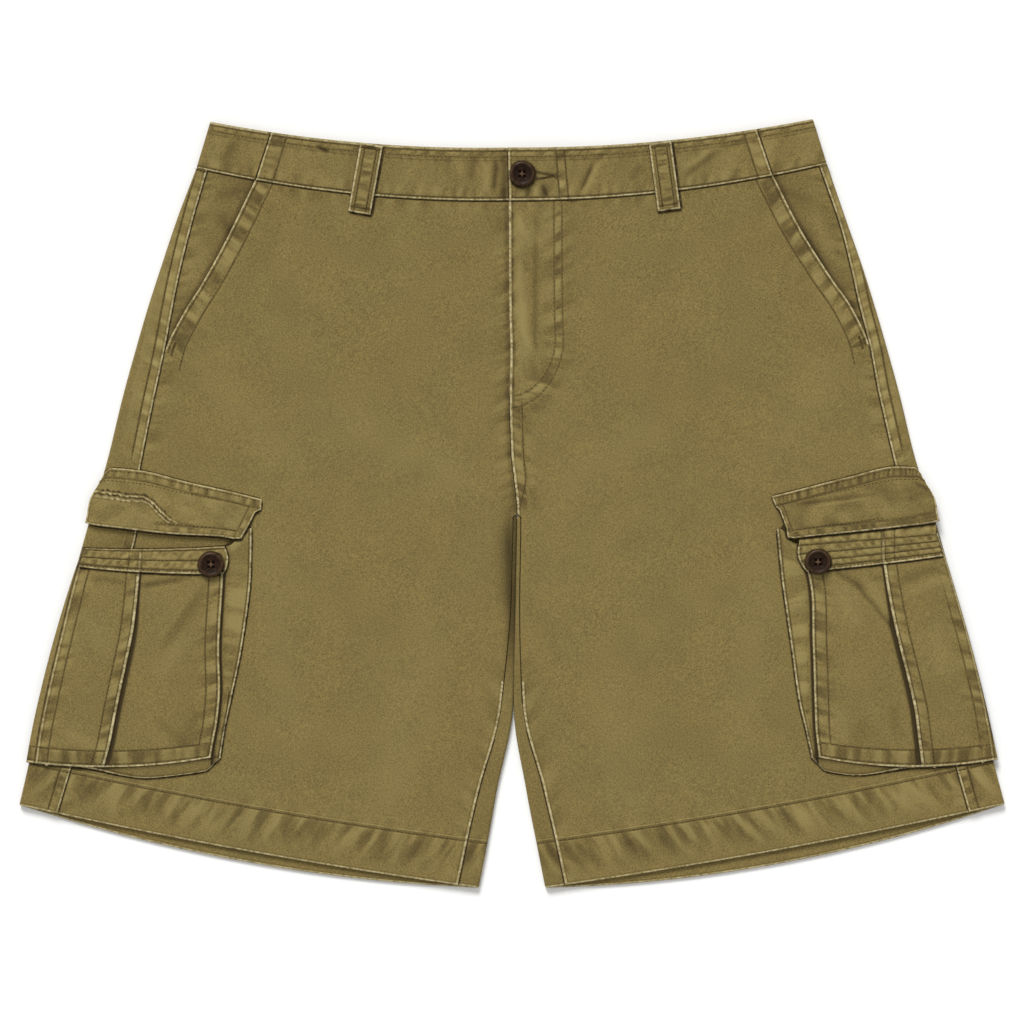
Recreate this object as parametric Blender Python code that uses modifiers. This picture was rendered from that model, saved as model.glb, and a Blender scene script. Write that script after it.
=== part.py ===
"""Cargo shorts of cotton twill, laid flat with the front up.

Each leg is a loft through the sections of a short table, a row for each section
from the waist seam down to the hem. The back panels lie on the floor and wrap
round the side folds and the leg folds; the front panels lie on top between the
seams. Pockets, flaps, loops and buttons are laid out on the points of what
carries them, moved out by a clearance and their own wall.

Every size is in millimetres until make_cloth and make_button turn it into metres.
The origin is on the floor under the middle of the shorts, +X to the wearer's
left, +Y to the waist, +Z up.
"""
from collections import namedtuple
from math import pi

import bpy
import numpy as np

for old in list(bpy.data.objects):
    bpy.data.objects.remove(old, do_unlink=True)
shorts = bpy.data.collections.new("cargo_shorts")
cutters = bpy.data.collections.new("cutters")
bpy.context.scene.collection.children.link(shorts)
bpy.context.scene.collection.children.link(cutters)

MM = 0.001

# ---- driving sizes -------------------------------------------------------
WALL = 1.2              # one layer of twill, with its seam allowance
HEM_WALL = 2.0          # the hem is turned up twice
BAND_WALL = 1.8         # waistband, two layers
FLAP_WALL = 1.5
LOOP_WALL = 1.2
CLEARANCE = 0.3         # between a piece and what it lies on
SEAM_GAP = 0.4          # between two pieces along a seam

LAID_HEIGHT = 4.2       # top of the front cloth over the floor
WAIST_LIFT = 2.0        # how much higher the front lies at the waist
FLOOR_LIFT = 1.5        # back of the waist, held off the floor by its loops
WAIST_FADE = 0.16       # share of the leg by which both lifts have died out
FLOOR_FADE = 0.07       # share of the leg up to which the back is held off the floor
BAND_TOP_HEIGHT = 6.6   # top of the front waistband

HEM_START = 0.935       # where the hem begins, as a share of the leg
HEM_TURN = 0.008        # share over which its step rises
HEM_LIFT = 0.5          # height of that step
RIGHT_RISE = 8.0        # how far a front hem lies above the back hem
LEFT_RISE = 10.0
FOLD_STEPS = 4          # faces round a fold of the cloth

FLY_LAP = 9.0           # right front carried on under the fly
FLY_LIFT = 1.6          # the fly stands this high over the right front
FLY_WIDTH = 39.0        # fly facing, edge to J stitch
FLY_BEND = 0.20         # where the J starts to curve, as a share of the leg
FLY_END = 0.286         # bottom of the J, as a share of the leg
CROTCH = 0.456          # where the four seams meet, as a share of the leg
CURL = 0.010            # the back curls up round the crotch over this share

POCKET_TUCK = 8.0       # hip panel carried on under the slant edge
SLANT_LIFT = 1.6        # slant edge over the hip panel
SLANT_BAND = 13.2       # stitched facing along the slant edge
SLANT_FADE = 26.0       # width past the facing over which its lift dies out
SLANT_END = 0.275       # bottom of the slant pocket, as a share of the leg

BUTTON_RADIUS = 9.4
BUTTON_HEIGHT = 3.0
BUTTON_HOLE_RADIUS = 0.9
BUTTON_HOLE_SPACING = 3.0

OLIVE = "8C7B4C"
OLIVE_WORN = "93835A"
OLIVE_DEEP = "7F6F42"
BUTTON_BROWN = "33241C"

# ---- sections of the two legs --------------------------------------------
# at is the share of the way from the waist seam to the hem. The section runs
# from the outer fold to the centre seam or the inner fold, and bow is how far its
# middle hangs below the straight line. The last three are distances from a
# fold: slant pocket edge and side seam from the outer, inseam from the inner.
Section = namedtuple("Section", "at outer_x outer_y inner_x inner_y bow slant seam inseam")

RIGHT_LEG = (
    Section(0.000, -233.0, 247.5, -2.7, 223.5, -7.0, 43.4, 8.2, 0.0),
    Section(0.080, -247.4, 209.6, -2.6, 183.0, -7.4, 39.7, 11.4, 0.0),
    Section(0.160, -260.0, 172.0, -2.3, 142.5, -7.8, 32.6, 14.5, 0.0),
    Section(0.220, -269.0, 144.0, -1.5, 112.0, -8.1, 25.2, 17.7, 0.0),
    Section(0.275, -276.6, 118.0, -2.1, 84.0, -8.4, 20.8, 20.3, 0.0),
    Section(0.360, -287.6, 78.0, -1.1, 40.7, -8.8, 22.5, 22.5, 0.0),
    Section(0.456, -298.5, 33.0, 3.4, -8.0, -9.2, 24.3, 24.3, 2.6),
    Section(0.570, -314.3, -20.8, 2.4, -66.0, -9.8, 35.5, 35.5, 2.9),
    Section(0.735, -335.3, -98.2, 0.7, -149.6, -10.6, 35.2, 35.2, 8.6),
    Section(0.860, -349.0, -157.0, -11.4, -213.0, -11.2, 32.6, 32.6, 12.8),
    Section(0.935, -356.8, -192.2, -18.2, -251.2, -11.5, 30.5, 30.5, 14.7),
    Section(1.000, -363.8, -222.7, -24.6, -283.8, -11.8, 28.5, 28.5, 15.0),
)
LEFT_LEG = (
    Section(0.000, 232.5, 250.5, -2.3, 223.5, -7.0, 39.7, 5.8, 0.0),
    Section(0.080, 245.4, 213.0, -2.2, 183.0, -7.4, 34.0, 5.4, 0.0),
    Section(0.160, 258.6, 175.2, -1.9, 142.5, -7.8, 24.8, 8.3, 0.0),
    Section(0.220, 267.5, 146.8, -1.1, 112.0, -8.1, 15.6, 10.7, 0.0),
    Section(0.275, 275.1, 120.8, -1.7, 84.0, -8.4, 11.8, 11.5, 0.0),
    Section(0.360, 286.1, 80.6, -0.7, 40.7, -8.8, 14.5, 14.5, 0.0),
    Section(0.456, 297.2, 35.2, 3.9, -8.0, -9.2, 15.0, 15.0, 2.6),
    Section(0.570, 314.4, -18.8, 2.9, -66.0, -9.8, 22.5, 22.5, 2.9),
    Section(0.735, 334.9, -96.7, 1.3, -149.6, -10.6, 28.2, 28.2, 6.7),
    Section(0.860, 347.9, -155.8, 10.8, -213.0, -12.3, 28.3, 28.3, 12.6),
    Section(0.935, 355.8, -191.3, 18.2, -251.2, -13.2, 27.2, 27.2, 14.0),
    Section(1.000, 363.8, -222.0, 24.6, -283.8, -13.6, 26.6, 26.6, 14.5),
)

# Top edge of the waistband over each leg, and where its side seams cross it.
BandTop = namedtuple("BandTop", "outer_x outer_y inner_x inner_y bow seam_top seam_bottom")
RIGHT_BAND = BandTop(-222.7, 281.8, -3.7, 262.7, -5.8, 45.0, 43.7)
LEFT_BAND = BandTop(222.2, 283.8, -3.4, 262.7, -5.8, 41.5, 40.0)
BAND_UNDERLAP = 32.0    # right end of the band carried on under the buttonhole end

# ---- largest folds of the front ------------------------------------------
# A crease is a soft ridge or trough from one end to the other.
Crease = namedtuple("Crease", "x0 y0 x1 y1 width height")
FRONT_CREASES = (
    Crease(-2.0, 4.0, 0.5, -58.0, 7.0, -0.9),
    Crease(8.0, -20.0, 7.0, -140.0, 5.0, 0.7),
    Crease(-20.0, 6.0, -150.0, 70.0, 16.0, 0.6),
    Crease(24.0, 2.0, 120.0, 62.0, 15.0, 0.6),
    Crease(-240.0, 108.0, -150.0, 20.0, 18.0, 0.5),
    Crease(246.0, 104.0, 168.0, 12.0, 18.0, 0.5),
    Crease(-186.0, -10.0, -160.0, -190.0, 14.0, 0.5),
    Crease(186.0, -30.0, 168.0, -200.0, 15.0, 0.5),
    Crease(-60.0, -90.0, -96.0, -240.0, 18.0, 0.6),
    Crease(64.0, -110.0, 88.0, -236.0, 16.0, 0.5),
    Crease(14.0, 205.0, 17.0, 95.0, 5.0, -0.5),
)
# A swell is a broad soft rise over an ellipse.
Swell = namedtuple("Swell", "x y radius_x radius_y height")
FRONT_SWELLS = (
    Swell(-120.0, 130.0, 110.0, 110.0, 1.0),
    Swell(122.0, 132.0, 112.0, 108.0, 1.0),
    Swell(-150.0, -120.0, 150.0, 130.0, 0.9),
    Swell(150.0, -122.0, 150.0, 128.0, 0.9),
    Swell(-272.0, -112.0, 64.0, 88.0, 1.0),
    Swell(274.0, -112.0, 64.0, 88.0, 1.0),
)

# ---- cargo pockets --------------------------------------------------------
# down is a row's share of the pocket's depth. A row runs from the outer silhouette to
# the stitched gusset edge. The last four are distances from the outer point: piped face
# edge, pleat edge, inner face edge, and how far the row's middle hangs below the line.
PocketRow = namedtuple("PocketRow", "down outer_x outer_y inner_x inner_y piping pleat face bow")
RIGHT_POCKET = (
    PocketRow(0.000, -316.8, -33.0, -192.0, -30.0, 2.0, 43.0, 104.0, 2.0),
    PocketRow(0.125, -321.8, -46.5, -192.6, -51.5, 2.2, 46.9, 108.5, 2.5),
    PocketRow(0.425, -338.2, -100.0, -199.0, -104.0, 5.0, 56.8, 122.0, 2.0),
    PocketRow(0.711, -349.6, -145.0, -207.5, -146.0, 6.0, 58.6, 133.5, 3.0),
    PocketRow(0.869, -355.0, -170.0, -212.0, -167.0, 6.5, 59.1, 136.0, 5.0),
    PocketRow(1.000, -358.6, -190.6, -215.0, -186.0, 7.0, 57.2, 136.0, 6.0),
)
LEFT_POCKET = (
    PocketRow(0.000, 314.6, -21.5, 195.3, -30.5, 2.0, 41.0, 102.4, 0.0),
    PocketRow(0.125, 319.9, -38.5, 198.5, -52.0, 2.2, 45.6, 101.8, 1.0),
    PocketRow(0.446, 337.6, -99.0, 205.9, -104.0, 5.0, 52.2, 115.6, 2.0),
    PocketRow(0.731, 349.2, -145.0, 211.8, -146.0, 6.5, 52.8, 125.8, 3.0),
    PocketRow(0.885, 354.7, -170.0, 217.0, -168.0, 6.5, 54.7, 130.3, 5.0),
    PocketRow(1.000, 358.6, -188.5, 221.0, -186.0, 4.0, 55.9, 132.0, 7.0),
)
POCKET_RISE = 2.7       # pocket face over its stitched edge
POCKET_MOUTH_RISE = 2.2     # the same at its mouth
POCKET_OUTER_HEIGHT = 5.6   # outer edge of the pocket, just over the leg's fold
PLEAT_STEP = 0.9        # the pleat laps this high over the cloth beside it
PLEAT_LAP = 2.2         # width over which it comes down
FACE_BOTTOM = 0.93      # bottom edge of the face, as a share of the pocket's depth
BAND_SHARE = 0.125      # stitched band, as a share of the pocket's depth
BAND_TAB = 3.2          # round end of the band past the face edge
# The left band runs on up under its flap, which reaches down over it.
TUCK_OUTER, TUCK_INNER = 8.5, 3.7   # from the pocket's mouth up to the flap's lower edge
TUCK_DEPTH = 6.0        # on from there, out of sight
TUCK_HEIGHT = 3.7       # its height over the leg there
TUCK_DROP, TUCK_FOLD = 1.4, 12.0    # lower by this at the side fold, over this width

RIGHT_POCKET_CREASES = (
    Crease(-232.0, -57.0, -265.0, -101.0, 4.5, 0.7),
    Crease(-272.0, -60.0, -240.0, -56.0, 3.5, -0.7),
    Crease(-312.0, -70.0, -318.0, -150.0, 7.0, 0.3),
    Crease(-245.0, -110.0, -236.0, -175.0, 9.0, 0.5),
)
LEFT_POCKET_CREASES = (
    Crease(236.0, -50.0, 283.0, -104.0, 5.0, 0.7),
    Crease(240.0, -46.0, 262.0, -62.0, 3.0, -0.7),
    Crease(300.0, -70.0, 330.0, -150.0, 7.0, 0.3),
    Crease(252.0, -120.0, 262.0, -176.0, 9.0, 0.5),
)

# ---- pocket flaps ---------------------------------------------------------
# across is the share of the way from the outer end to the inner end.
FlapStation = namedtuple("FlapStation", "across top_x top_y bottom_x bottom_y")
RIGHT_FLAP = (
    FlapStation(0.00, -301.2, 22.0, -315.4, -14.4),
    FlapStation(0.06, -296.0, 26.2, -310.0, -15.8),
    FlapStation(0.25, -274.5, 24.4, -288.6, -18.5),
    FlapStation(0.55, -239.8, 16.0, -249.4, -22.8),
    FlapStation(0.85, -201.3, 7.4, -216.0, -24.6),
    FlapStation(1.00, -184.6, 3.0, -200.0, -27.4),
)
LEFT_FLAP = (
    FlapStation(0.00, 302.0, 22.0, 315.6, -13.0),
    FlapStation(0.06, 297.0, 27.0, 309.0, -14.6),
    FlapStation(0.25, 282.7, 27.4, 290.0, -17.0),
    FlapStation(0.55, 248.0, 19.6, 258.0, -20.6),
    FlapStation(0.85, 207.0, 9.2, 219.0, -24.6),
    FlapStation(1.00, 191.7, 5.4, 203.6, -26.6),
)
RIGHT_PUFF, LEFT_PUFF = 1.8, 4.0    # lower edge of the flap over its stitched top
FLAP_DROP = 1.5         # lower outer corner of the flap, bent down at the side fold
FLAP_CORNER = 1.2       # cut-back at the inner corners
FLAP_BULGE = 3.0        # outer end of the flap, bowed out past its corners
FLAP_STRIP = 0.23       # sewn strip along the top, as a share of the flap's depth
FLAP_TURN = 0.32        # where the free end starts below it
RIGHT_EAR = 3.2         # sewn strip, carried on square past the free end
LEFT_INSET = 2.0        # free end, set back from the sewn strip

# ---- belt loops -----------------------------------------------------------
Loop = namedtuple("Loop", "name top_x top_y bottom_x bottom_y width")
FRONT_LOOPS = (
    Loop("belt_loop_front_right", -103.6, 265.0, -112.7, 214.3, 16.5),
    Loop("belt_loop_front_left", 109.2, 266.6, 116.0, 216.5, 16.5),
)
BACK_LOOPS = (
    Loop("belt_loop_back_right", -128.0, 264.0, -131.0, 214.0, 16.5),
    Loop("belt_loop_back_centre", -3.5, 261.0, -3.5, 211.0, 16.5),
    Loop("belt_loop_back_left", 122.0, 265.0, 125.0, 215.0, 16.5),
)
LOOP_ARCH = 0.5         # middle of a front loop, bowed up off the band

Button = namedtuple("Button", "name x y")
WAIST_BUTTON = Button("button_waist", 7.4, 243.1)
RIGHT_POCKET_BUTTON = Button("button_cargo_right", -222.0, -45.1)
LEFT_POCKET_BUTTON = Button("button_cargo_left", 225.7, -43.2)


# ---- shapes in numbers ----------------------------------------------------
def ease(start, end, value):
    """0 before start, 1 after end, a smooth S between."""
    t = np.clip((np.asarray(value, float) - start) / (end - start), 0.0, 1.0)
    return t * t * (3.0 - 2.0 * t)


def table_curve(places, values, at):
    """Cubic Hermite curve through a table's column that never overshoots it.

    A row's tangent is the harmonic mean of the slopes beside it, or 0 at a turn.
    """
    places, values, at = (np.asarray(a, float) for a in (places, values, at))
    slopes = np.diff(values) / np.diff(places)
    before, after = slopes[:-1], slopes[1:]
    same_way = before * after > 0.0
    mean = 2.0 * before * after / np.where(same_way, before + after, 1.0)
    tangents = np.concatenate(([slopes[0]], np.where(same_way, mean, 0.0), [slopes[-1]]))
    index = np.clip(np.searchsorted(places, at, side="right") - 1, 0, len(places) - 2)
    span = places[index + 1] - places[index]
    t = (at - places[index]) / span
    return ((2 * t**3 - 3 * t**2 + 1) * values[index]
            + (t**3 - 2 * t**2 + t) * span * tangents[index]
            + (-2 * t**3 + 3 * t**2) * values[index + 1]
            + (t**3 - t**2) * span * tangents[index + 1])


def column(table, name):
    return [getattr(row, name) for row in table]


def section_at(leg, at):
    """The leg's section at each share in at, every field a column of numbers."""
    places = column(leg, "at")
    fields = {name: table_curve(places, column(leg, name), at)[:, None]
              for name in leg[0]._fields}
    return Section(**fields)


def crease_height(creases, x, y):
    """Sum of soft ridges: a bell across each line, fading out at its two ends."""
    height = np.zeros_like(x)
    for c in creases:
        length = np.hypot(c.x1 - c.x0, c.y1 - c.y0)
        along = ((x - c.x0) * (c.x1 - c.x0) + (y - c.y0) * (c.y1 - c.y0)) / length
        across = ((x - c.x0) * (c.y1 - c.y0) - (y - c.y0) * (c.x1 - c.x0)) / length
        ends = ease(-0.15 * length, 0.25 * length, along)
        ends = ends * (1.0 - ease(0.75 * length, 1.15 * length, along))
        height = height + c.height * ends * np.exp(-(across / c.width) ** 2)
    return height


def front_height(x, y, at=1.0):
    """Outer height of the front layer over the floor, with its folds and swells."""
    height = LAID_HEIGHT + WAIST_LIFT * (1.0 - ease(0.0, WAIST_FADE, at))
    for s in FRONT_SWELLS:
        reach = np.hypot((x - s.x) / s.radius_x, (y - s.y) / s.radius_y)
        height = height + s.height * (1.0 - ease(0.1, 1.0, reach))
    return height + crease_height(FRONT_CREASES, x, y)


def leg_xy(section, distance, at, front=True):
    """Plan point of a section, distance millimetres in from its outer fold."""
    width = np.abs(section.inner_x - section.outer_x)
    side = np.sign(section.inner_x - section.outer_x)
    u = distance / width
    arch = 4.0 * u * (1.0 - u)
    x = section.outer_x + side * distance
    y = section.outer_y + (section.inner_y - section.outer_y) * u + section.bow * arch
    if front:
        rise = np.where(section.outer_x > 0.0, LEFT_RISE, RIGHT_RISE)
        y = y + rise * ease(0.6, 1.0, at) * np.clip(arch, 0.0, None)
    return x, y


def grid(x, y, z):
    x, y, z = np.broadcast_arrays(x, y, z)
    return np.stack((x, y, z), axis=-1)


def shares(*stops):
    """Stops given as (value, steps to the next), turned into one rising list."""
    values = [stops[0][0]]
    for (start, steps), (end, _) in zip(stops[:-1], stops[1:]):
        values.extend(start + (end - start) * np.arange(1, steps + 1) / steps)
    return np.array(values)


LEG_ROWS = shares((0.0, 5), (SLANT_END, 1), (FLY_END, 1), (0.31, 3), (0.44, 1), (CROTCH, 1),
                  (CROTCH + CURL, 1), (0.49, 3), (0.65, 3), (0.81, 2), (HEM_START - HEM_TURN, 1),
                  (HEM_START, 1), (1.0, 0))


# ---- making the pieces ----------------------------------------------------
def linear(code):
    channels = [int(code[i:i + 2], 16) / 255.0 for i in (0, 2, 4)]
    return [c / 12.92 if c <= 0.04045 else ((c + 0.055) / 1.055) ** 2.4 for c in channels]


def dress(piece, colour, roughness):
    """Give the piece a plain Principled material of its own."""
    material = bpy.data.materials.new(piece.name)
    material.use_nodes = True
    surface = material.node_tree.nodes["Principled BSDF"]
    surface.inputs["Base Color"].default_value = (*linear(colour), 1.0)
    surface.inputs["Roughness"].default_value = roughness
    surface.inputs["Metallic"].default_value = 0.0
    material.diffuse_color = (*linear(colour), 1.0)
    piece.data.materials.clear()
    piece.data.materials.append(material)


def make_cloth(name, points, wall, colour, flip=False, thick=None, thick_wall=None):
    """A loft through rows of points, given its wall inwards from that surface.

    Rows run down the garment. The surface faces the side from which the rows'
    points run left to right, or the other side with flip. thick marks the
    points, from 0 to 1, where the wall grows to thick_wall.
    """
    rows, columns, _ = points.shape
    index = np.arange(rows * columns).reshape(rows, columns)
    corners = [index[:-1, :-1], index[1:, :-1], index[1:, 1:], index[:-1, 1:]]
    if flip:
        corners.reverse()
    faces = np.stack(corners, axis=-1).reshape(-1, 4)
    mesh = bpy.data.meshes.new(name)
    mesh.from_pydata((points.reshape(-1, 3) * MM).tolist(), [], faces.tolist())
    mesh.shade_smooth()
    piece = bpy.data.objects.new(name, mesh)
    shorts.objects.link(piece)
    solidify = piece.modifiers.new("wall", "SOLIDIFY")
    solidify.thickness = (thick_wall or wall) * MM
    solidify.offset = -1.0
    solidify.use_even_offset = False
    solidify.use_quality_normals = True
    if thick is not None:
        group = piece.vertex_groups.new(name="thick")
        weights = np.broadcast_to(thick, (rows, columns)).reshape(-1)
        for number, weight in enumerate(weights):
            group.add([number], float(weight), "REPLACE")
        solidify.vertex_group = group.name
        solidify.thickness_vertex_group = wall / thick_wall
    dress(piece, colour, 0.9)
    return piece


def hem_weight(rows):
    """1 on the hem, 0 above it, as a column."""
    return ease(HEM_START - HEM_TURN, HEM_START, rows)[:, None]


def slant_lift(section, distance, at):
    """Lift of the front beside the slant pocket: full on the facing, then dying out."""
    near = 1.0 - ease(SLANT_BAND, SLANT_BAND + SLANT_FADE, distance - section.slant)
    return SLANT_LIFT * near * (1.0 - ease(SLANT_END + 0.012, SLANT_END + 0.06, at))


def fly_lift(section, distance, at):
    """Lift of the left front along the fly, inside the J of its stitching."""
    width = np.abs(section.inner_x - section.outer_x)
    below_bend = np.clip(at - FLY_BEND, 0.0, None) / (FLY_END + 0.014 - FLY_BEND)
    reach = np.hypot((width - distance) / FLY_WIDTH, below_bend)
    return FLY_LIFT * (1.0 - ease(1.0, 1.22, reach))


def make_front(name, leg, lap):
    """Front panel, from the slant edge and side seam to the centre seam and inseam."""
    at = LEG_ROWS[:, None]
    section = section_at(leg, LEG_ROWS)
    width = np.abs(section.inner_x - section.outer_x)
    outer = np.where(at <= SLANT_END, section.slant, section.seam + SEAM_GAP / 2)
    under = lap * (1.0 - ease(SLANT_END - 0.01, FLY_END, at))
    inner = width - np.where(at < CROTCH, -under, section.inseam + SEAM_GAP / 2)
    across = shares((0.0, 3), (0.09, 4), (0.62, 2), (0.80, 2), (0.86, 2), (1.0, 0))[None, :]
    distance = outer + (inner - outer) * across
    x, y = leg_xy(section, distance, at)
    y = y - np.where(at == 0.0, SEAM_GAP, 0.0)
    z = front_height(x, y, at) + slant_lift(section, distance, at)
    if lap == 0.0:
        z = z + fly_lift(section, distance, at)
    z = z + HEM_LIFT * hem_weight(LEG_ROWS)
    return make_cloth(name, grid(x, y, z), WALL, OLIVE, flip=leg is LEFT_LEG,
                      thick=hem_weight(LEG_ROWS), thick_wall=HEM_WALL)


def floor_height(at):
    """Outer height of the back layer: on the floor, but held off it at the waist."""
    return FLOOR_LIFT * (1.0 - ease(FLOOR_FADE, WAIST_FADE, at))


def fold_arc(radius, floor, quarter_turns):
    """Distance and height round a fold, from its top at 0 to the floor at 2 quarters."""
    angle = quarter_turns * pi / 2
    return radius * (1.0 - np.sin(angle)), floor + radius * (1.0 + np.cos(angle))


def make_back(name, leg):
    """Back panel: side seam, outer fold, floor, then the centre seam or inner fold.

    Each row is four stretches: the strip in from the side seam, the arc round the
    outer fold, the floor, and the end, which curls up round the leg below the
    crotch and lies flat up to the centre seam above it.
    """
    at = LEG_ROWS[:, None]
    section = section_at(leg, LEG_ROWS)
    width = np.abs(section.inner_x - section.outer_x)
    floor = floor_height(at)
    hem_rise = HEM_LIFT * hem_weight(LEG_ROWS)
    quarters = np.linspace(0.0, 2.0, FOLD_STEPS + 1)[None, :]

    outer_x, outer_y = leg_xy(section, section.seam, at)
    radius = (front_height(outer_x, outer_y, at) + hem_rise - floor) / 2
    arc_out, arc_height = fold_arc(radius, floor, quarters)
    strip = np.linspace(1.0, 0.0, 4)[None, :-1]
    strip_out = radius + (section.seam - SEAM_GAP / 2 - radius) * strip
    strip_height = floor + 2.0 * radius + 0.0 * strip_out

    inner_x, inner_y = leg_xy(section, width - section.inseam, at)
    inner_radius = (front_height(inner_x, inner_y, at) + hem_rise - floor) / 2
    curl_out, curl_height = fold_arc(inner_radius, floor, 2.0 - quarters)
    top_in = np.linspace(0.0, 1.0, 3)[None, 1:]
    top_out = inner_radius + (section.inseam - SEAM_GAP / 2 - inner_radius) * top_in
    top_height = floor + 2.0 * inner_radius + 0.0 * top_out
    curled_out = np.concatenate((curl_out, top_out), axis=1)
    curled_height = np.concatenate((curl_height, top_height), axis=1)
    flat_out = (curl_out[:, :1] + 0.6) * np.linspace(1.0, 0.0, curled_out.shape[1])[None, :]
    end_out = np.where(at > CROTCH, curled_out, flat_out)
    end_height = np.where(at > CROTCH, curled_height, floor)

    floor_share = np.linspace(0.0, 1.0, 8)[None, 1:-1]
    floor_out = arc_out[:, -1:] + (width - end_out[:, :1] - arc_out[:, -1:]) * floor_share
    distance = np.concatenate((strip_out, arc_out, floor_out, width - end_out), axis=1)
    z = np.concatenate((strip_height, arc_height, floor + 0.0 * floor_out, end_height), axis=1)

    # The hem of the back hangs lower than the front's, so the rise fades round each fold.
    top_share = ease(0.2, 0.8, (z - floor) / (2.0 * radius))
    x, y_top = leg_xy(section, distance, at)
    _, y_floor = leg_xy(section, distance, at, front=False)
    y = y_floor + (y_top - y_floor) * top_share - np.where(at == 0.0, SEAM_GAP, 0.0)
    return make_cloth(name, grid(x, y, z), WALL, OLIVE_DEEP, flip=leg is RIGHT_LEG,
                      thick=hem_weight(LEG_ROWS), thick_wall=HEM_WALL)


def make_hip_panel(name, leg):
    """The cloth behind the slant pocket, from the side seam to under the slant edge."""
    rows = shares((0.0, 6), (SLANT_END, 1), (0.5 * (SLANT_END + FLY_END), 0))
    at = rows[:, None]
    section = section_at(leg, rows)
    outer = section.seam + SEAM_GAP / 2
    inner = section.slant + POCKET_TUCK
    distance = outer + (inner - outer) * np.linspace(0.0, 1.0, 6)[None, :]
    x, y = leg_xy(section, distance, at)
    y = y - np.where(at == 0.0, SEAM_GAP, 0.0)
    return make_cloth(name, grid(x, y, front_height(x, y, at)), WALL, OLIVE_DEEP,
                      flip=leg is LEFT_LEG)


# ---- waistband ------------------------------------------------------------
def band_xy(leg, top, distance, down):
    """Plan point of the waistband, distance in from its fold, down from 0 to 1."""
    seam = leg[0]
    upper = leg_xy(top, distance, 0.0)
    lower = leg_xy(seam, distance, 0.0)
    return tuple(a + (b - a) * down for a, b in zip(upper, lower))


def band_front(leg, top, start, reach, down, across):
    """Front stretch of the band: start in from the fold, on to the centre and past."""
    width_top = abs(top.inner_x - top.outer_x)
    width_bottom = abs(leg[0].inner_x - leg[0].outer_x)
    seam = top.seam_top + (top.seam_bottom - top.seam_top) * down + start
    centre = width_top + (width_bottom - width_top) * down + reach
    distance = seam + (centre - seam) * across
    return band_xy(leg, top, distance, down)


BAND_DOWN = np.linspace(0.0, 1.0, 5)[:, None]


def make_band_front_right():
    across = np.linspace(0.0, 1.0, 11)[None, :]
    x, y = band_front(RIGHT_LEG, RIGHT_BAND, SEAM_GAP / 2, BAND_UNDERLAP, BAND_DOWN, across)
    z = np.full_like(x, BAND_TOP_HEIGHT)
    make_cloth("waistband_front_right", grid(x, y, z), BAND_WALL, OLIVE_WORN)


def make_band_front_left():
    """Buttonhole end, lying over the other one and then coming down to its level."""
    across = shares((0.0, 6), (0.66, 1), (0.74, 1), (0.82, 2), (1.0, 0))[None, :]
    x, y = band_front(LEFT_LEG, LEFT_BAND, SEAM_GAP / 2, -SEAM_GAP, BAND_DOWN, across)
    over = 1.0 - ease(BAND_UNDERLAP + 3.0, BAND_UNDERLAP + 28.0, x)
    z = BAND_TOP_HEIGHT + (BAND_WALL + CLEARANCE) * over
    make_cloth("waistband_front_left", grid(x, y, z), BAND_WALL, OLIVE_WORN, flip=True)


def make_band_back():
    """Back of the band, wrapping both side folds up to the band's side seams."""
    radius = (BAND_TOP_HEIGHT - FLOOR_LIFT) / 2
    quarters = np.linspace(0.0, 2.0, FOLD_STEPS + 1)[None, :]
    arc_out, arc_height = fold_arc(radius, FLOOR_LIFT, quarters)
    strip = np.linspace(1.0, 0.0, 4)[None, :-1]
    sides = []
    for leg, top in ((RIGHT_LEG, RIGHT_BAND), (LEFT_LEG, LEFT_BAND)):
        seam = top.seam_top + (top.seam_bottom - top.seam_top) * BAND_DOWN - SEAM_GAP / 2
        width_top = abs(top.inner_x - top.outer_x)
        width_bottom = abs(leg[0].inner_x - leg[0].outer_x)
        width = width_top + (width_bottom - width_top) * BAND_DOWN
        strip_out = radius + (seam - radius) * strip
        arc = arc_out + 0.0 * seam
        floor_share = np.linspace(0.0, 1.0, 8)[None, 1:]
        floor_out = radius + (width - radius) * floor_share
        distance = np.concatenate((strip_out, arc, floor_out), axis=1)
        z = np.concatenate((BAND_TOP_HEIGHT + 0.0 * strip_out, arc_height + 0.0 * seam,
                            FLOOR_LIFT + 0.0 * floor_out), axis=1)
        x, y = band_xy(leg, top, distance, BAND_DOWN)
        sides.append(grid(x, y, z))
    right, left = sides
    middle = (right[:, -1:] + left[:, -1:]) / 2
    points = np.concatenate((right[:, :-1], middle, left[:, -2::-1]), axis=1)
    make_cloth("waistband_back", points, BAND_WALL, OLIVE_DEEP, flip=True)


# ---- belt loops -----------------------------------------------------------
def loop_points(loop, height):
    """A strip down the band and past its seam; height is its outer surface."""
    down = np.linspace(0.0, 1.0, 9)[:, None]
    across = (np.array([-0.5, 0.0, 0.5]) * loop.width)[None, :]
    slope = (loop.bottom_x - loop.top_x) / (loop.top_y - loop.bottom_y)
    x = loop.top_x + (loop.bottom_x - loop.top_x) * down + across
    y = loop.top_y + (loop.bottom_y - loop.top_y) * down + slope * across
    return grid(x, y, height(down) + 0.0 * x)


def make_front_loops():
    rest = BAND_TOP_HEIGHT + CLEARANCE + LOOP_WALL

    def height(down):
        return rest + LOOP_ARCH * np.sin(pi * down) ** 2

    for loop in FRONT_LOOPS:
        make_cloth(loop.name, loop_points(loop, height), LOOP_WALL, OLIVE)


def make_back_loops():
    """The loops behind lie between the band and the floor, facing down."""
    for loop in BACK_LOOPS:
        points = loop_points(loop, lambda down: 0.0 * down)
        make_cloth(loop.name, points, LOOP_WALL, OLIVE, flip=True)


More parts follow.
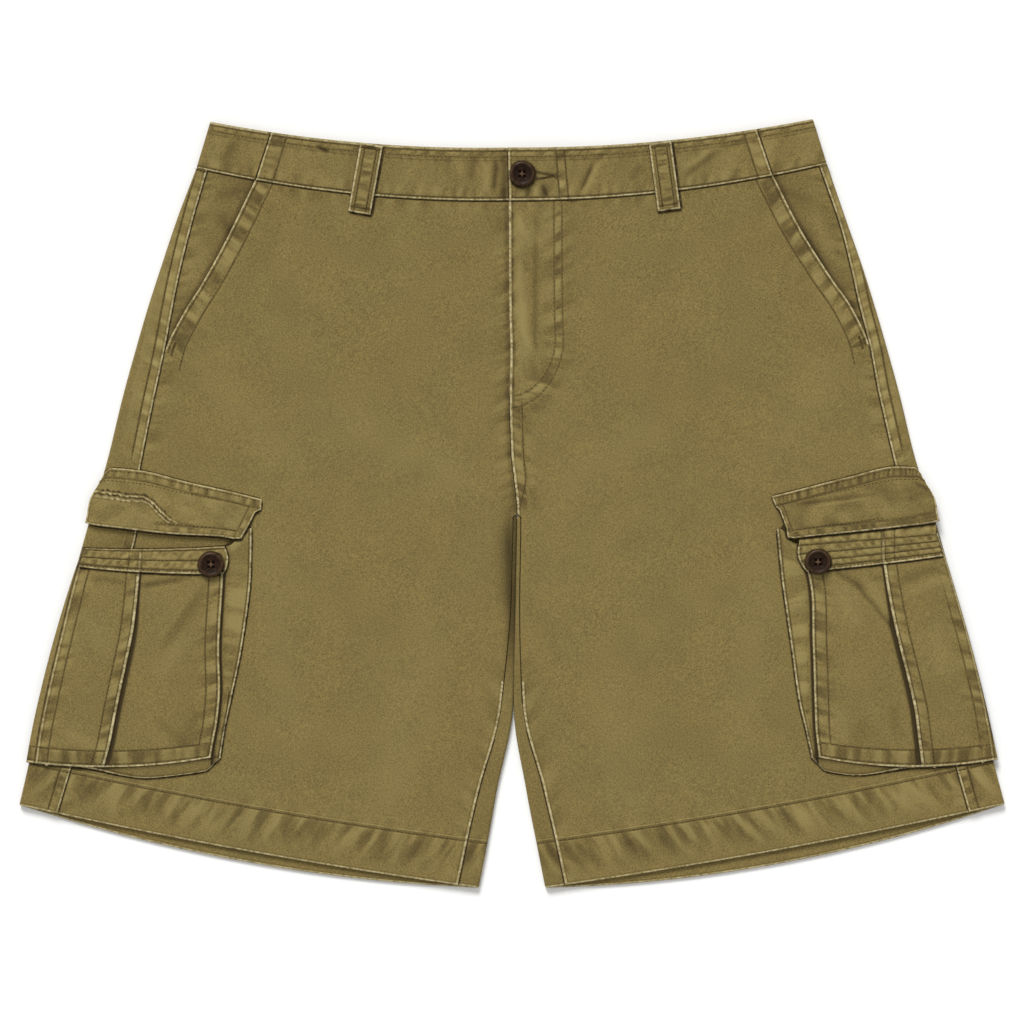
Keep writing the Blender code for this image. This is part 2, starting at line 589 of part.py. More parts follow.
# ---- cargo pockets --------------------------------------------------------
def pocket_lines(rows, down):
    """The pocket table's columns at each share of its depth."""
    places = column(rows, "down")
    fields = {name: table_curve(places, column(rows, name), down)[:, None]
              for name in rows[0]._fields}
    return PocketRow(**fields)


def pocket_xy(line, distance):
    width = np.abs(line.inner_x - line.outer_x)
    u = distance / width
    x = line.outer_x + np.sign(line.inner_x - line.outer_x) * distance
    y = line.outer_y + (line.inner_y - line.outer_y) * u - line.bow * 4.0 * u * (1.0 - u)
    return x, y


def pocket_height(line, distance, x, y, down, creases):
    """Outer height of the pocket: stitched edge, gusset, raised face, pleat, creases."""
    width = np.abs(line.inner_x - line.outer_x)
    base = front_height(x, y) + CLEARANCE + WALL
    face_rise = POCKET_MOUTH_RISE + (POCKET_RISE - POCKET_MOUTH_RISE) * ease(0.0, 0.3, down)
    gusset = 1.0 - ease(0.0, 1.0, (distance - line.face) / (width - line.face))
    bottom = 1.0 - ease(FACE_BOTTOM, 1.0, down)
    on_face = ease(0.0, 4.0, distance - line.piping) * (1.0 - ease(-4.0, 0.0, distance - line.face))
    pleat = PLEAT_STEP * (1.0 - ease(0.0, PLEAT_LAP, distance - line.pleat))
    pleat = pleat * ease(0.0, 16.0, distance - line.piping) * ease(0.02, 0.2, down)
    relief = (pleat + crease_height(creases, x, y)) * on_face * bottom
    height = base + face_rise * gusset * bottom + relief
    outside = 1.0 - ease(0.0, 1.0, distance / line.piping)
    return height + (POCKET_OUTER_HEIGHT - height) * outside


POCKET_ROWS = shares((0.0, 2), (BAND_SHARE, 6), (0.82, 2), (FACE_BOTTOM, 3), (1.0, 0))
BAND_ROWS = POCKET_ROWS[POCKET_ROWS <= BAND_SHARE]


def face_stops(line):
    """Distances across the face, closer together at its edges and the pleat."""
    inner = line.face - line.pleat
    stops = (line.piping, line.piping + 4.0, line.pleat * 0.55, line.pleat - 3.0, line.pleat,
             line.pleat + PLEAT_LAP, line.pleat + inner * 0.15, line.pleat + inner * 0.40,
             line.pleat + inner * 0.68, line.face - 5.0, line.face)
    return np.concatenate(stops, axis=1)


def make_pocket(name, rows, creases, flip):
    """Pocket body: face, pleat and the gusset that joins it to the leg."""
    down = POCKET_ROWS
    line = pocket_lines(rows, down)
    width = np.abs(line.inner_x - line.outer_x)
    gusset = line.face + (width - line.face) * np.array([0.35, 0.7, 1.0])
    outside = line.piping * np.array([0.0, 0.5])
    distance = np.concatenate((outside, face_stops(line), gusset), axis=1)
    x, y = pocket_xy(line, distance)
    z = pocket_height(line, distance, x, y, down[:, None], creases)
    return make_cloth(name, grid(x, y, z), WALL, OLIVE, flip=flip)


def tucked(x, y, z, distance):
    """Rows that carry a band's first row on up, sinking to pass under the flap."""
    gap = TUCK_OUTER + (TUCK_INNER - TUCK_OUTER) * distance / distance[:, -1:]
    up = np.concatenate((gap + TUCK_DEPTH, gap, 0.75 * gap, 0.5 * gap, 0.25 * gap))
    under = TUCK_HEIGHT - TUCK_DROP * (1.0 - ease(0.0, TUCK_FOLD, distance))
    under = front_height(x + 0.0 * up, y + up) + under
    return x + 0.0 * up, y + up, z + (under - z) * ease(0.0, 0.9, up / gap)


def make_pocket_band(name, rows, creases, flip):
    """Stitched band over the pocket's mouth, its inner end a round tab for the button."""
    down = BAND_ROWS
    line = pocket_lines(rows, down)
    on_face = face_stops(line)[:, 1:]
    x, y = pocket_xy(line, on_face)
    z = pocket_height(line, on_face, x, y, down[:, None], creases) + CLEARANCE + WALL
    round_end = (1.0 - (2.0 * down / BAND_SHARE - 1.0) ** 2)[:, None]
    tab = line.face + BAND_TAB * round_end + 0.5
    distance = np.concatenate((0.0 * tab, on_face, tab), axis=1)
    x, y = pocket_xy(line, distance)
    z = np.concatenate((z[:, :1], z, z[:, -1:]), axis=1)
    if rows is LEFT_POCKET:
        above = tucked(x[:1], y[:1], z[:1], distance[:1])
        x, y, z = (np.concatenate(pair) for pair in zip(above, (x, y, z)))
    return make_cloth(name, grid(x, y, z), WALL, OLIVE_WORN, flip=flip)


def make_flap(name, stations, puff, ear, inset, flip):
    """Pocket flap, stitched down along its top and lifting towards its lower edge.

    At its inner end the sewn strip sticks out by the ear, or the free end is inset.
    """
    places = column(stations, "across")
    across = shares((0.0, 2), (0.06, 10), (0.94, 2), (1.0, 0))
    top_x, top_y, low_x, low_y = (table_curve(places, column(stations, name), across)[None, :]
                                  for name in stations[0]._fields[1:])
    down = np.array([0.0, 0.5 * FLAP_STRIP, FLAP_STRIP, FLAP_TURN, 0.5, 0.75, 1.0])[:, None]
    x = top_x + (low_x - top_x) * down
    y = top_y + (low_y - top_y) * down
    y = y + FLAP_CORNER * ease(0.94, 1.0, across) * ease(0.6, 1.0, down)
    outwards = np.sign(x[:, :1])
    free = ease(FLAP_STRIP, FLAP_TURN, down)
    end = inset * free * (1.0 - ease(0.7, 1.0, down)) - ear * down / FLAP_STRIP * (1.0 - free)
    x = x + outwards * end * ease(0.94, 1.0, across)
    x = x + outwards * FLAP_BULGE * (1.0 - ease(0.0, 0.1, across)) * np.sin(pi * down) ** 2
    z = front_height(x, y) + CLEARANCE + FLAP_WALL + puff * ease(0.1, 0.9, down)
    z = z - FLAP_DROP * (1.0 - ease(0.0, 0.08, across)) * ease(0.3, 0.9, down)
    return make_cloth(name, grid(x, y, z), FLAP_WALL, OLIVE_WORN, flip=flip)


# ---- buttons --------------------------------------------------------------
# Half of the button's section, from the middle of its dish over the rim to its back:
# shares of the radius and of the height.
BUTTON_PROFILE = ((0.0, 0.63), (0.62, 0.70), (0.74, 0.97), (0.84, 1.0), (0.95, 0.83),
                  (1.0, 0.53), (0.93, 0.13), (0.78, 0.0), (0.0, 0.0))


def make_button(button, seat):
    """Four-hole button with a raised rim, turned from a profile and drilled."""
    profile = [(x * BUTTON_RADIUS * MM, 0.0, z * BUTTON_HEIGHT * MM) for x, z in BUTTON_PROFILE]
    mesh = bpy.data.meshes.new(button.name)
    mesh.from_pydata(profile, [(i, i + 1) for i in range(len(profile) - 1)], [])
    piece = bpy.data.objects.new(button.name, mesh)
    shorts.objects.link(piece)
    piece.location = (button.x * MM, button.y * MM, seat * MM)
    screw = piece.modifiers.new("turned", "SCREW")
    screw.steps = 20
    screw.render_steps = 20
    screw.use_merge_vertices = True
    screw.merge_threshold = 0.00001
    for number, (side_x, side_y) in enumerate(((1, 1), (1, -1), (-1, 1), (-1, -1))):
        hole_x = button.x + side_x * BUTTON_HOLE_SPACING / 2
        hole_y = button.y + side_y * BUTTON_HOLE_SPACING / 2
        bpy.ops.mesh.primitive_cylinder_add(
            vertices=8, radius=BUTTON_HOLE_RADIUS * MM, depth=4.0 * BUTTON_HEIGHT * MM,
            location=(hole_x * MM, hole_y * MM, seat * MM))
        cutter = bpy.context.object
        cutter.name = f"{button.name}_cutter_{number + 1}"
        cutter.hide_render = True
        cutter.display_type = "WIRE"
        bpy.context.collection.objects.unlink(cutter)
        cutters.objects.link(cutter)
        drill = piece.modifiers.new(f"hole_{number + 1}", "BOOLEAN")
        drill.object = cutter
    dress(piece, BUTTON_BROWN, 0.45)
    return piece


def band_seat(rows, creases, button):
    """Height of the pocket band under a button: its highest point below the disc."""
    down = np.linspace(0.0, BAND_SHARE, 9)
    line = pocket_lines(rows, down)
    distance = line.face + np.linspace(-2.6 * BUTTON_RADIUS, 0.0, 25)[None, :]
    x, y = pocket_xy(line, distance)
    z = pocket_height(line, distance, x, y, down[:, None], creases) + CLEARANCE + WALL
    under = np.hypot(x - button.x, y - button.y) < BUTTON_RADIUS + 1.5
    return float(z[under].max()) + CLEARANCE


# ---- the shorts -----------------------------------------------------------
make_back("back_panel_right", RIGHT_LEG)
make_back("back_panel_left", LEFT_LEG)
make_front("front_panel_right", RIGHT_LEG, FLY_LAP)
make_front("front_panel_left", LEFT_LEG, 0.0)
make_hip_panel("hip_panel_right", RIGHT_LEG)
make_hip_panel("hip_panel_left", LEFT_LEG)
make_band_back()
make_band_front_right()
make_band_front_left()
make_front_loops()
make_back_loops()
make_pocket("cargo_pocket_right", RIGHT_POCKET, RIGHT_POCKET_CREASES, False)
make_pocket("cargo_pocket_left", LEFT_POCKET, LEFT_POCKET_CREASES, True)
make_pocket_band("cargo_band_right", RIGHT_POCKET, RIGHT_POCKET_CREASES, False)
make_pocket_band("cargo_band_left", LEFT_POCKET, LEFT_POCKET_CREASES, True)
make_flap("cargo_flap_right", RIGHT_FLAP, RIGHT_PUFF, RIGHT_EAR, 0.0, False)
make_flap("cargo_flap_left", LEFT_FLAP, LEFT_PUFF, 0.0, LEFT_INSET, True)
make_button(WAIST_BUTTON, BAND_TOP_HEIGHT + BAND_WALL + 2.0 * CLEARANCE)
for rows, creases, button in ((RIGHT_POCKET, RIGHT_POCKET_CREASES, RIGHT_POCKET_BUTTON),
                              (LEFT_POCKET, LEFT_POCKET_CREASES, LEFT_POCKET_BUTTON)):
    make_button(button, band_seat(rows, creases, button))
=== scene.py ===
"""Cargo shorts of garment-washed cotton twill, laid flat with the front up.

Every size is in millimetres until a mesh is made. The origin is on the floor under the
middle of the shorts, +X to the wearer's left, +Y to the waist, +Z up.
"""
from collections import namedtuple
from functools import partial, reduce
from math import pi, radians

import bpy
import numpy as np
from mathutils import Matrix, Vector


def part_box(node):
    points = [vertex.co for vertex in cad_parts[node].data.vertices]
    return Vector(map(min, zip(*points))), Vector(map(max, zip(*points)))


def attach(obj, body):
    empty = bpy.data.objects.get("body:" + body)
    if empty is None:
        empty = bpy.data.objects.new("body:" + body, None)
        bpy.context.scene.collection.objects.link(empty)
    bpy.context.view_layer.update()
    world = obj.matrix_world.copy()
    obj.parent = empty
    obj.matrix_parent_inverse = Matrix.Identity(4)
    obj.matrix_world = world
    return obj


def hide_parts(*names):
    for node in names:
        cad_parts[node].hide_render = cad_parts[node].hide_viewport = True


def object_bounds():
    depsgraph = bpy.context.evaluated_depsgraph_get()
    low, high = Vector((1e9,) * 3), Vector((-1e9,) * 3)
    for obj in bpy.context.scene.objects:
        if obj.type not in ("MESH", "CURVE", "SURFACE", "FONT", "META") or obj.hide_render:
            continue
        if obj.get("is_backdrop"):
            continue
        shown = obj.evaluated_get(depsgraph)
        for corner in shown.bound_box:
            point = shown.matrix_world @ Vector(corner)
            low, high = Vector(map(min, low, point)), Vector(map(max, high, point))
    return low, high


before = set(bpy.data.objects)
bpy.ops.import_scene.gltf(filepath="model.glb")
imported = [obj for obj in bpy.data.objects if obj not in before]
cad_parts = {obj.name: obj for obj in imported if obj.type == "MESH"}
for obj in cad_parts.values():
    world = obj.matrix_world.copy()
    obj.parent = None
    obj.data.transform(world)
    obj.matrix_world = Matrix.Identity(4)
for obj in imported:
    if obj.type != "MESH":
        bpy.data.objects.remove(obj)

CAD_BOX = [list(corner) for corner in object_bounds()]
MM = 0.001

# ==== Floor, light and camera ====================================================
# A matt white paper floor that the shorts lie on, lit evenly by a bright room and by one
# wide soft light above the waist. The camera looks straight down from above the middle.
FLOOR_SIZE = 6              # metres
FLOOR_DROP = 0.3            # thread under the shorts sinks no deeper than this
FLOOR_WHITE = "FBFBFA"
ROOM_LIGHT = 0.58
KEY_STRENGTH = 2.75
KEY_WIDTH = radians(24)
KEY_LEAN, KEY_TURN = radians(50), radians(-20)
CAMERA_HEIGHT = 6.304       # metres
CAMERA_Y = -0.0063
CAMERA_LENS, CAMERA_SENSOR = 300, 36


def linear(code):
    """Linear red, green and blue of an sRGB hex code: c / 12.92 near black, and above it
    the power 2.4 of (c + 0.055) / 1.055."""
    c = np.array([int(code[i:i + 2], 16) for i in (0, 2, 4)]) / 255
    return (*np.where(c <= 0.04045, c / 12.92, ((c + 0.055) / 1.055) ** 2.4).tolist(), 1)


def add(tree, kind, settings=None, links=None, out=None):
    """Adds a node with its settings and links, and returns one of its outputs.

    A setting is a property or an input of that name, a link is an input's name or number
    and what is plugged in. The output is the one named by out, or else the first in use.
    """
    node = tree.nodes.new("ShaderNode" + kind)
    for key, value in (settings or {}).items():
        if isinstance(key, str) and hasattr(node, key):
            setattr(node, key, value)
        else:
            node.inputs[key].default_value = value
    for key, source in (links or {}).items():
        tree.links.new(source, node.inputs[key])
    return node.outputs[out] if out else next(o for o in node.outputs if o.enabled)


def material(name, finish):
    """A new material with one Principled surface, its sockets set from finish."""
    made = bpy.data.materials.new(name)
    made.use_nodes = True
    surface = made.node_tree.nodes["Principled BSDF"]
    for key, value in finish.items():
        surface.inputs[key].default_value = value
    made.diffuse_color = finish["Base Color"]
    return made, made.node_tree, surface


floor_mesh = bpy.data.meshes.new("floor")
floor_mesh.from_pydata([(x * FLOOR_SIZE / 2, y * FLOOR_SIZE / 2, -FLOOR_DROP * MM)
                        for x, y in ((-1, -1), (1, -1), (1, 1), (-1, 1))], [], [(0, 1, 2, 3)])
floor = bpy.data.objects.new("floor", floor_mesh)
bpy.context.collection.objects.link(floor)
# Matt white paper, uncoated: no gloss at all.
paper, _, _ = material("matt_white_paper", {
    "Base Color": linear(FLOOR_WHITE), "Roughness": 1, "Specular IOR Level": 0})
floor_mesh.materials.append(paper)
floor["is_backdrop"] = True

world = bpy.data.worlds.new("white_room")
world.use_nodes = True
room = world.node_tree.nodes["Background"].inputs
room["Color"].default_value = (1, 1, 1, 1)
room["Strength"].default_value = ROOM_LIGHT
bpy.context.scene.world = world

key = bpy.data.objects.new("key_light", bpy.data.lights.new("key_light", "SUN"))
key.data.energy = KEY_STRENGTH
key.data.angle = KEY_WIDTH
key.rotation_euler = (-KEY_LEAN, KEY_TURN, 0)
bpy.context.collection.objects.link(key)

camera = bpy.data.objects.new("camera", bpy.data.cameras.new("camera"))
camera.data.lens = CAMERA_LENS
camera.data.sensor_width = CAMERA_SENSOR
camera.location = (0, CAMERA_Y, CAMERA_HEIGHT)
bpy.context.collection.objects.link(camera)
bpy.context.scene.camera = camera
bpy.context.scene.view_settings.view_transform = "Standard"

# ==== Back panels ================================================================
# Two backs of cotton twill, which lie on the floor and wrap round the outer and inner
# folds of each leg to the side seam and inseam. Their seam allowances are turned under
# and topstitched, so the edge at the side seam stands proud and is worn pale.
WALL = 1.2                  # one layer of twill with its seam allowance
HEM_WALL = 2                # the hem is turned up twice
CLEARANCE = 0.3             # between a piece and what it lies on
SEAM_GAP = 0.4              # between two pieces along a seam
LAID_HEIGHT, WAIST_LIFT, FLOOR_LIFT = 4.2, 2, 1.5
WAIST_FADE, FLOOR_FADE = 0.16, 0.07     # shares of the leg
HEM_START, HEM_TURN, HEM_LIFT = 0.935, 0.008, 0.5
RIGHT_RISE, LEFT_RISE = 8, 10       # how far a front hem lies above the back hem
CROTCH = 0.456
LAP_END, LAP_CLOSE = 0.7, 0.2      # the legs press together down to here, this much closer
LAP_SEAM = 1.5              # a pressed inseam's shadow lies this far off it
LEG_LENGTH = 522            # of the middle of a leg, waist seam to hem
NOSE = 0.8                  # width over which an edge rounds down
ROUND = 0.45                # of the wall, by which either side rounds at an edge
WORN = 0.62                 # the palest line of a worn edge lies this far in from it
SIDE_RIDGE = 0.6            # the back's edge over the front's, at the side seam
SIDE_STITCH = 7.5           # topstitching in from the side seam
HEM_ROLL = 2.2              # the roll of cloth above the hem's stitches
FAR = 9.0                   # distance given to a point that a line doesn't reach
TWILL_OLIVE, TWILL_BROWN, TWILL_GREEN = "7B6A3D", "7D6B3E", "796B3E"
# Worn edges are pale. The lighter twill is painted light where puckers, folds and rolls rise. The
# dark twill is painted shade in hollows, seams and round pieces lying on the cloth, and dye left in
# its seams.
TWILL_PALE, TWILL_LIT_AND_PALE, TWILL_SHADE_AND_DYE = "C6B98E", "9C8C58", "2E230E"
YARN_LUMP, TWILL_RIB, TWILL_SLOPE, PUCKER_PITCH = 0.7, 0.8, radians(48), 9


def rows_of(kind, *rows):
    """The rows of a table as named tuples of one kind."""
    return tuple(kind(*row) for row in rows)


# at is the share of the way from waist seam to hem, from the outer fold to the inner
# one. The last three are distances from a fold: slant pocket, side seam and inseam.
Section = namedtuple("Section", "at outer_x outer_y inner_x inner_y bow slant seam inseam")
RIGHT_LEG = rows_of(
    Section,
    (0, -233, 247.5, -2.7, 223.5, -7, 43.4, 8.2, 0),
    (0.08, -247.4, 209.6, -2.6, 183, -7.4, 39.7, 11.4, 0),
    (0.16, -260, 172, -2.3, 142.5, -7.8, 32.6, 14.5, 0),
    (0.22, -269, 144, -1.5, 112, -8.1, 25.2, 17.7, 0),
    (0.275, -276.6, 118, -2.1, 84, -8.4, 20.8, 20.3, 0),
    (0.36, -287.6, 78, -1.1, 40.7, -8.8, 22.5, 22.5, 0),
    (0.456, -298.5, 33, 3.4, -8, -9.2, 24.3, 24.3, 2.6),
    (0.57, -314.3, -20.8, 2.4, -66, -9.8, 35.5, 35.5, 2.9),
    (0.735, -335.3, -98.2, 0.7, -149.6, -10.6, 35.2, 35.2, 8.6),
    (0.86, -349, -157, -11.4, -213, -11.2, 32.6, 32.6, 12.8),
    (0.935, -356.8, -192.2, -18.2, -251.2, -11.5, 30.5, 30.5, 14.7),
    (1, -363.8, -222.7, -24.6, -283.8, -11.8, 28.5, 28.5, 15),
)
LEFT_LEG = rows_of(
    Section,
    (0, 232.5, 250.5, -2.3, 223.5, -7, 39.7, 5.8, 0),
    (0.08, 245.4, 213, -2.2, 183, -7.4, 34, 5.4, 0),
    (0.16, 258.6, 175.2, -1.9, 142.5, -7.8, 24.8, 8.3, 0),
    (0.22, 267.5, 146.8, -1.1, 112, -8.1, 15.6, 10.7, 0),
    (0.275, 275.1, 120.8, -1.7, 84, -8.4, 11.8, 11.5, 0),
    (0.36, 286.1, 80.6, -0.7, 40.7, -8.8, 14.5, 14.5, 0),
    (0.456, 297.2, 35.2, 3.9, -8, -9.2, 15, 15, 2.6),
    (0.57, 314.4, -18.8, 2.9, -66, -9.8, 22.5, 22.5, 2.9),
    (0.735, 334.9, -96.7, 1.3, -149.6, -10.6, 28.2, 28.2, 6.7),
    (0.86, 347.9, -155.8, 10.8, -213, -12.3, 28.3, 28.3, 12.6),
    (0.935, 355.8, -191.3, 18.2, -251.2, -13.2, 27.2, 27.2, 14),
    (1, 363.8, -222, 24.6, -283.8, -13.6, 26.6, 26.6, 14.5),
)

# Soft ridges and troughs of the front, each from one end to the other.
Crease = namedtuple("Crease", "x0 y0 x1 y1 width height")
FRONT_CREASES = rows_of(
    Crease,
    (-2, 4, 0.5, -58, 7, -0.9), (8, -20, 7, -140, 5, 0.7), (-20, 6, -150, 70, 16, 0.6),
    (24, 2, 120, 62, 15, 0.6), (-240, 108, -150, 20, 18, 0.5), (246, 104, 168, 12, 18, 0.5),
    (-186, -10, -160, -190, 14, 0.5), (186, -30, 168, -200, 15, 0.5),
    (-60, -90, -96, -240, 18, 0.6), (64, -110, 88, -236, 16, 0.5), (14, 205, 17, 95, 5, -0.5),
)
Swell = namedtuple("Swell", "x y radius_x radius_y height")
FRONT_SWELLS = rows_of(
    Swell,
    (-120, 130, 110, 110, 1),
    (122, 132, 112, 108, 1),
    (-150, -120, 150, 130, 0.9),
    (150, -122, 150, 128, 0.9),
    (-272, -112, 64, 88, 1),
    (274, -112, 64, 88, 1),
)


def ease(start, end, value):
    """0 before start, 1 after end, and the S curve 3t^2 - 2t^3 between."""
    t = np.clip((np.asarray(value, float) - start) / (end - start), 0, 1)
    return t * t * (3 - 2 * t)


def fade(start, end, value):
    """1 before start and 0 after end: the same S curve, turned over."""
    return 1 - ease(start, end, value)


def bell(distance, width):
    """exp(-(distance / width)^2)"""
    return np.exp(-(distance / width) ** 2)


def strip(value, start, end, soft=1.5):
    """1 from start to end, easing to 0 over soft at both, inside them."""
    return ease(start, start + soft, value) * fade(end - soft, end, value)


def table_curve(places, values, at):
    """Cubic Hermite curve through a table's column that never overshoots it.

    A row's tangent is the harmonic mean of the slopes beside it, or 0 at a turn.
    """
    places, values, at = (np.asarray(a, float) for a in (places, values, at))
    slopes = np.diff(values) / np.diff(places)
    before, after = slopes[:-1], slopes[1:]
    same_way = before * after > 0
    mean = 2 * before * after / np.where(same_way, before + after, 1)
    tangents = np.concatenate(([slopes[0]], np.where(same_way, mean, 0), [slopes[-1]]))
    index = np.clip(np.searchsorted(places, at, side="right") - 1, 0, len(places) - 2)
    span = places[index + 1] - places[index]
    t = (at - places[index]) / span
    return ((2 * t**3 - 3 * t**2 + 1) * values[index]
            + (t**3 - 2 * t**2 + t) * span * tangents[index]
            + (-2 * t**3 + 3 * t**2) * values[index + 1]
            + (t**3 - t**2) * span * tangents[index + 1])


def read_table(table, at):
    """Every column of a table read at each place in at, its first column being the places."""
    stored = list(zip(*table))
    return type(table[0])(*(table_curve(stored[0], values, at)[:, None] for values in stored))


def width_of(row):
    """How far a row of a table runs in plan, between its outer and inner end."""
    return np.abs(row.outer_x - row.inner_x)


def crease_height(creases, x, y):
    """Sum of soft ridges: a bell across each line, fading out at its two ends."""
    height = np.zeros_like(x)
    for c in creases:
        length = np.hypot(c.x1 - c.x0, c.y1 - c.y0)
        along = ((x - c.x0) * (c.x1 - c.x0) + (y - c.y0) * (c.y1 - c.y0)) / length
        across = ((x - c.x0) * (c.y1 - c.y0) - (y - c.y0) * (c.x1 - c.x0)) / length
        ends = ease(-0.15 * length, 0.25 * length, along)
        ends = ends * fade(0.75 * length, 1.15 * length, along)
        height = height + c.height * ends * bell(across, c.width)
    return height


def front_height(x, y, at=1):
    """Outer height of the front layer over the floor: its lift, swells and creases."""
    height = LAID_HEIGHT + WAIST_LIFT * fade(0, WAIST_FADE, at)
    for s in FRONT_SWELLS:
        reach = np.hypot((x - s.x) / s.radius_x, (y - s.y) / s.radius_y)
        height = height + s.height * fade(0.1, 1, reach)
    return height + crease_height(FRONT_CREASES, x, y)


def leg_xy(section, distance, at, front=True):
    """Plan point of a section, distance in from its outer fold, on a shallow arch."""
    width = width_of(section)
    u = distance / width
    arch = 4 * u * (1 - u)
    x = section.outer_x + np.sign(section.inner_x - section.outer_x) * distance
    y = section.outer_y + (section.inner_y - section.outer_y) * u + section.bow * arch
    if front:
        rise = np.where(section.outer_x > 0, LEFT_RISE, RIGHT_RISE)
        y = y + rise * ease(0.6, 1, at) * np.clip(arch, 0, None)
    return x, y


PEAKS = 600                 # more than any seam has


def ripple(run, pitch, seed):
    """Uneven wave along a seam: peaks and troughs of random size, one every half pitch,
    joined by S curves, with the run itself stretched and squeezed by a slow sine."""
    rng = np.random.default_rng(seed)
    heights = rng.uniform(0.25, 1, PEAKS) * np.where(np.arange(PEAKS) % 2, 1, -1)
    place = (run + 0.4 * pitch * np.sin(run / pitch * 0.9 + seed)) * 2 / pitch + PEAKS / 2
    index = np.clip(np.floor(place).astype(int), 0, PEAKS - 2)
    t = place - index
    return heights[index] + (heights[index + 1] - heights[index]) * t * t * (3 - 2 * t)


def nose(distance, reach=NOSE):
    """How deep a rounded edge has fallen at a distance from it: a quarter circle, 1 to 0."""
    t = np.clip(1 - distance / reach, 0, 1)
    return 1 - np.sqrt(1 - t * t)


def grid(x, y, z):
    """The three coordinates stacked into one array of points."""
    return np.stack(np.broadcast_arrays(x, y, z), axis=-1)


def least(*values):
    """The smallest of several values at each point."""
    return reduce(np.minimum, values)


def nearest(*distances):
    """The smallest distance to any of several lines, on either side of them."""
    return least(*(np.abs(distance) for distance in distances))


def only(where, distance):
    """The distance where the line runs, and FAR from it elsewhere."""
    return np.where(where, distance, FAR)


def strongest(*zones):
    """Of several puckered zones, each its run, distance and weight, the strongest at a
    point, and no puckers where two zones meet."""
    flat = np.broadcast_arrays(*(values for zone in zones for values in zone))
    stacks = [np.stack(flat[i::3]) for i in range(3)]
    which = np.argmax(stacks[2], axis=0)
    run, across, weight = (np.take_along_axis(a, which[None], 0)[0] for a in stacks)
    around = np.lib.stride_tricks.sliding_window_view(np.pad(which, 1, mode="edge"), (3, 3))
    return run, across, weight * (around == which[..., None, None]).all(axis=(2, 3))


EDGE_STOPS = np.array([0, 0.05, 0.18, 0.38, 0.62, 0.9, 1.3, 1.8, 2.5, 3.3, 4.3, 5.6, 7.2])


def columns(outer, inner, near_outer, near_inner, count):
    """Distances across a row: fixed ones in from each edge, count even ones between."""
    left, right = outer + near_outer, inner - near_inner[::-1]
    between = left[:, -1:] + (right[:, :1] - left[:, -1:]) * np.linspace(0, 1, count + 2)[1:-1]
    return np.concatenate((left, between, right), axis=1)


def dress(name, mesh, finish):
    """Puts the mesh into the scene as a piece of the object, in its material."""
    mesh.materials.append(finish)
    piece = bpy.data.objects.new(name, mesh)
    bpy.context.collection.objects.link(piece)
    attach(piece, "root")
    return piece


def cloth(name, points, roll, wall, marks, flip=False):
    """Closed shell over a grid of points, which are its outer side before its edges round.

    The outer side is the grid sunk along its normal by the roll, from 0 to 1, times
    ROUND of the wall, the inner side is sunk by the rest of the wall, and a rim joins
    them. marks are numbers for each point. pale, dark and stitch are distances from a
    worn edge, a line of painted shadow and dye left in a seam, and a row of stitches. seam
    is a run along a puckered zone, a distance across it and how strong it is. tone is from
    -1 dark to 1 pale, mostly painted shade and painted light.
    """
    rows, cols, _ = points.shape
    down, across = np.gradient(points, axis=0), np.gradient(points, axis=1)
    normal = np.cross(across, down) if flip else np.cross(down, across)
    normal = normal / np.linalg.norm(normal, axis=-1, keepdims=True)
    wall = np.broadcast_to(wall, (rows, cols))[..., None]
    sunk = ROUND * wall * np.clip(roll, 0, 1)[..., None]
    corners = np.concatenate((points - normal * sunk, points - normal * (wall - sunk)))
    index = np.arange(rows * cols).reshape(rows, cols)
    quads = np.stack((index[:-1, :-1], index[1:, :-1], index[1:, 1:], index[:-1, 1:]), -1)
    quads = quads.reshape(-1, 4)
    rim = np.concatenate((index[:-1, 0], index[-1, :-1], index[:0:-1, -1], index[0, :0:-1]))
    ahead, under = np.roll(rim, -1), rows * cols
    sides = np.stack((ahead, rim, rim + under, ahead + under), -1)
    faces = np.concatenate((quads, quads[:, ::-1] + under, sides))
    mesh = bpy.data.meshes.new(name)
    mesh.from_pydata(corners.reshape(-1, 3) * MM, [], faces[:, ::-1] if flip else faces)
    mesh.shade_smooth()
    far = np.full((rows, cols), FAR)
    lines = [np.clip(np.broadcast_to(marks.get(key, far), (rows, cols)), -FAR, FAR)
             for key in ("pale", "dark", "stitch")]
    seam = np.broadcast_arrays(*marks["seam"], far)[:3]
    for key, values in (("lines", lines), ("seam", seam)):
        values = np.tile(np.stack(values, -1).reshape(-1, 3), (2, 1)).ravel()
        mesh.attributes.new(key, "FLOAT_VECTOR", "POINT").data.foreach_set("vector", values)
    tone = np.tile(np.broadcast_to(marks["tone"], (rows, cols)).ravel(), 2)
    mesh.attributes.new("tone", "FLOAT", "POINT").data.foreach_set("value", tone)
    return dress(name, mesh, twill)


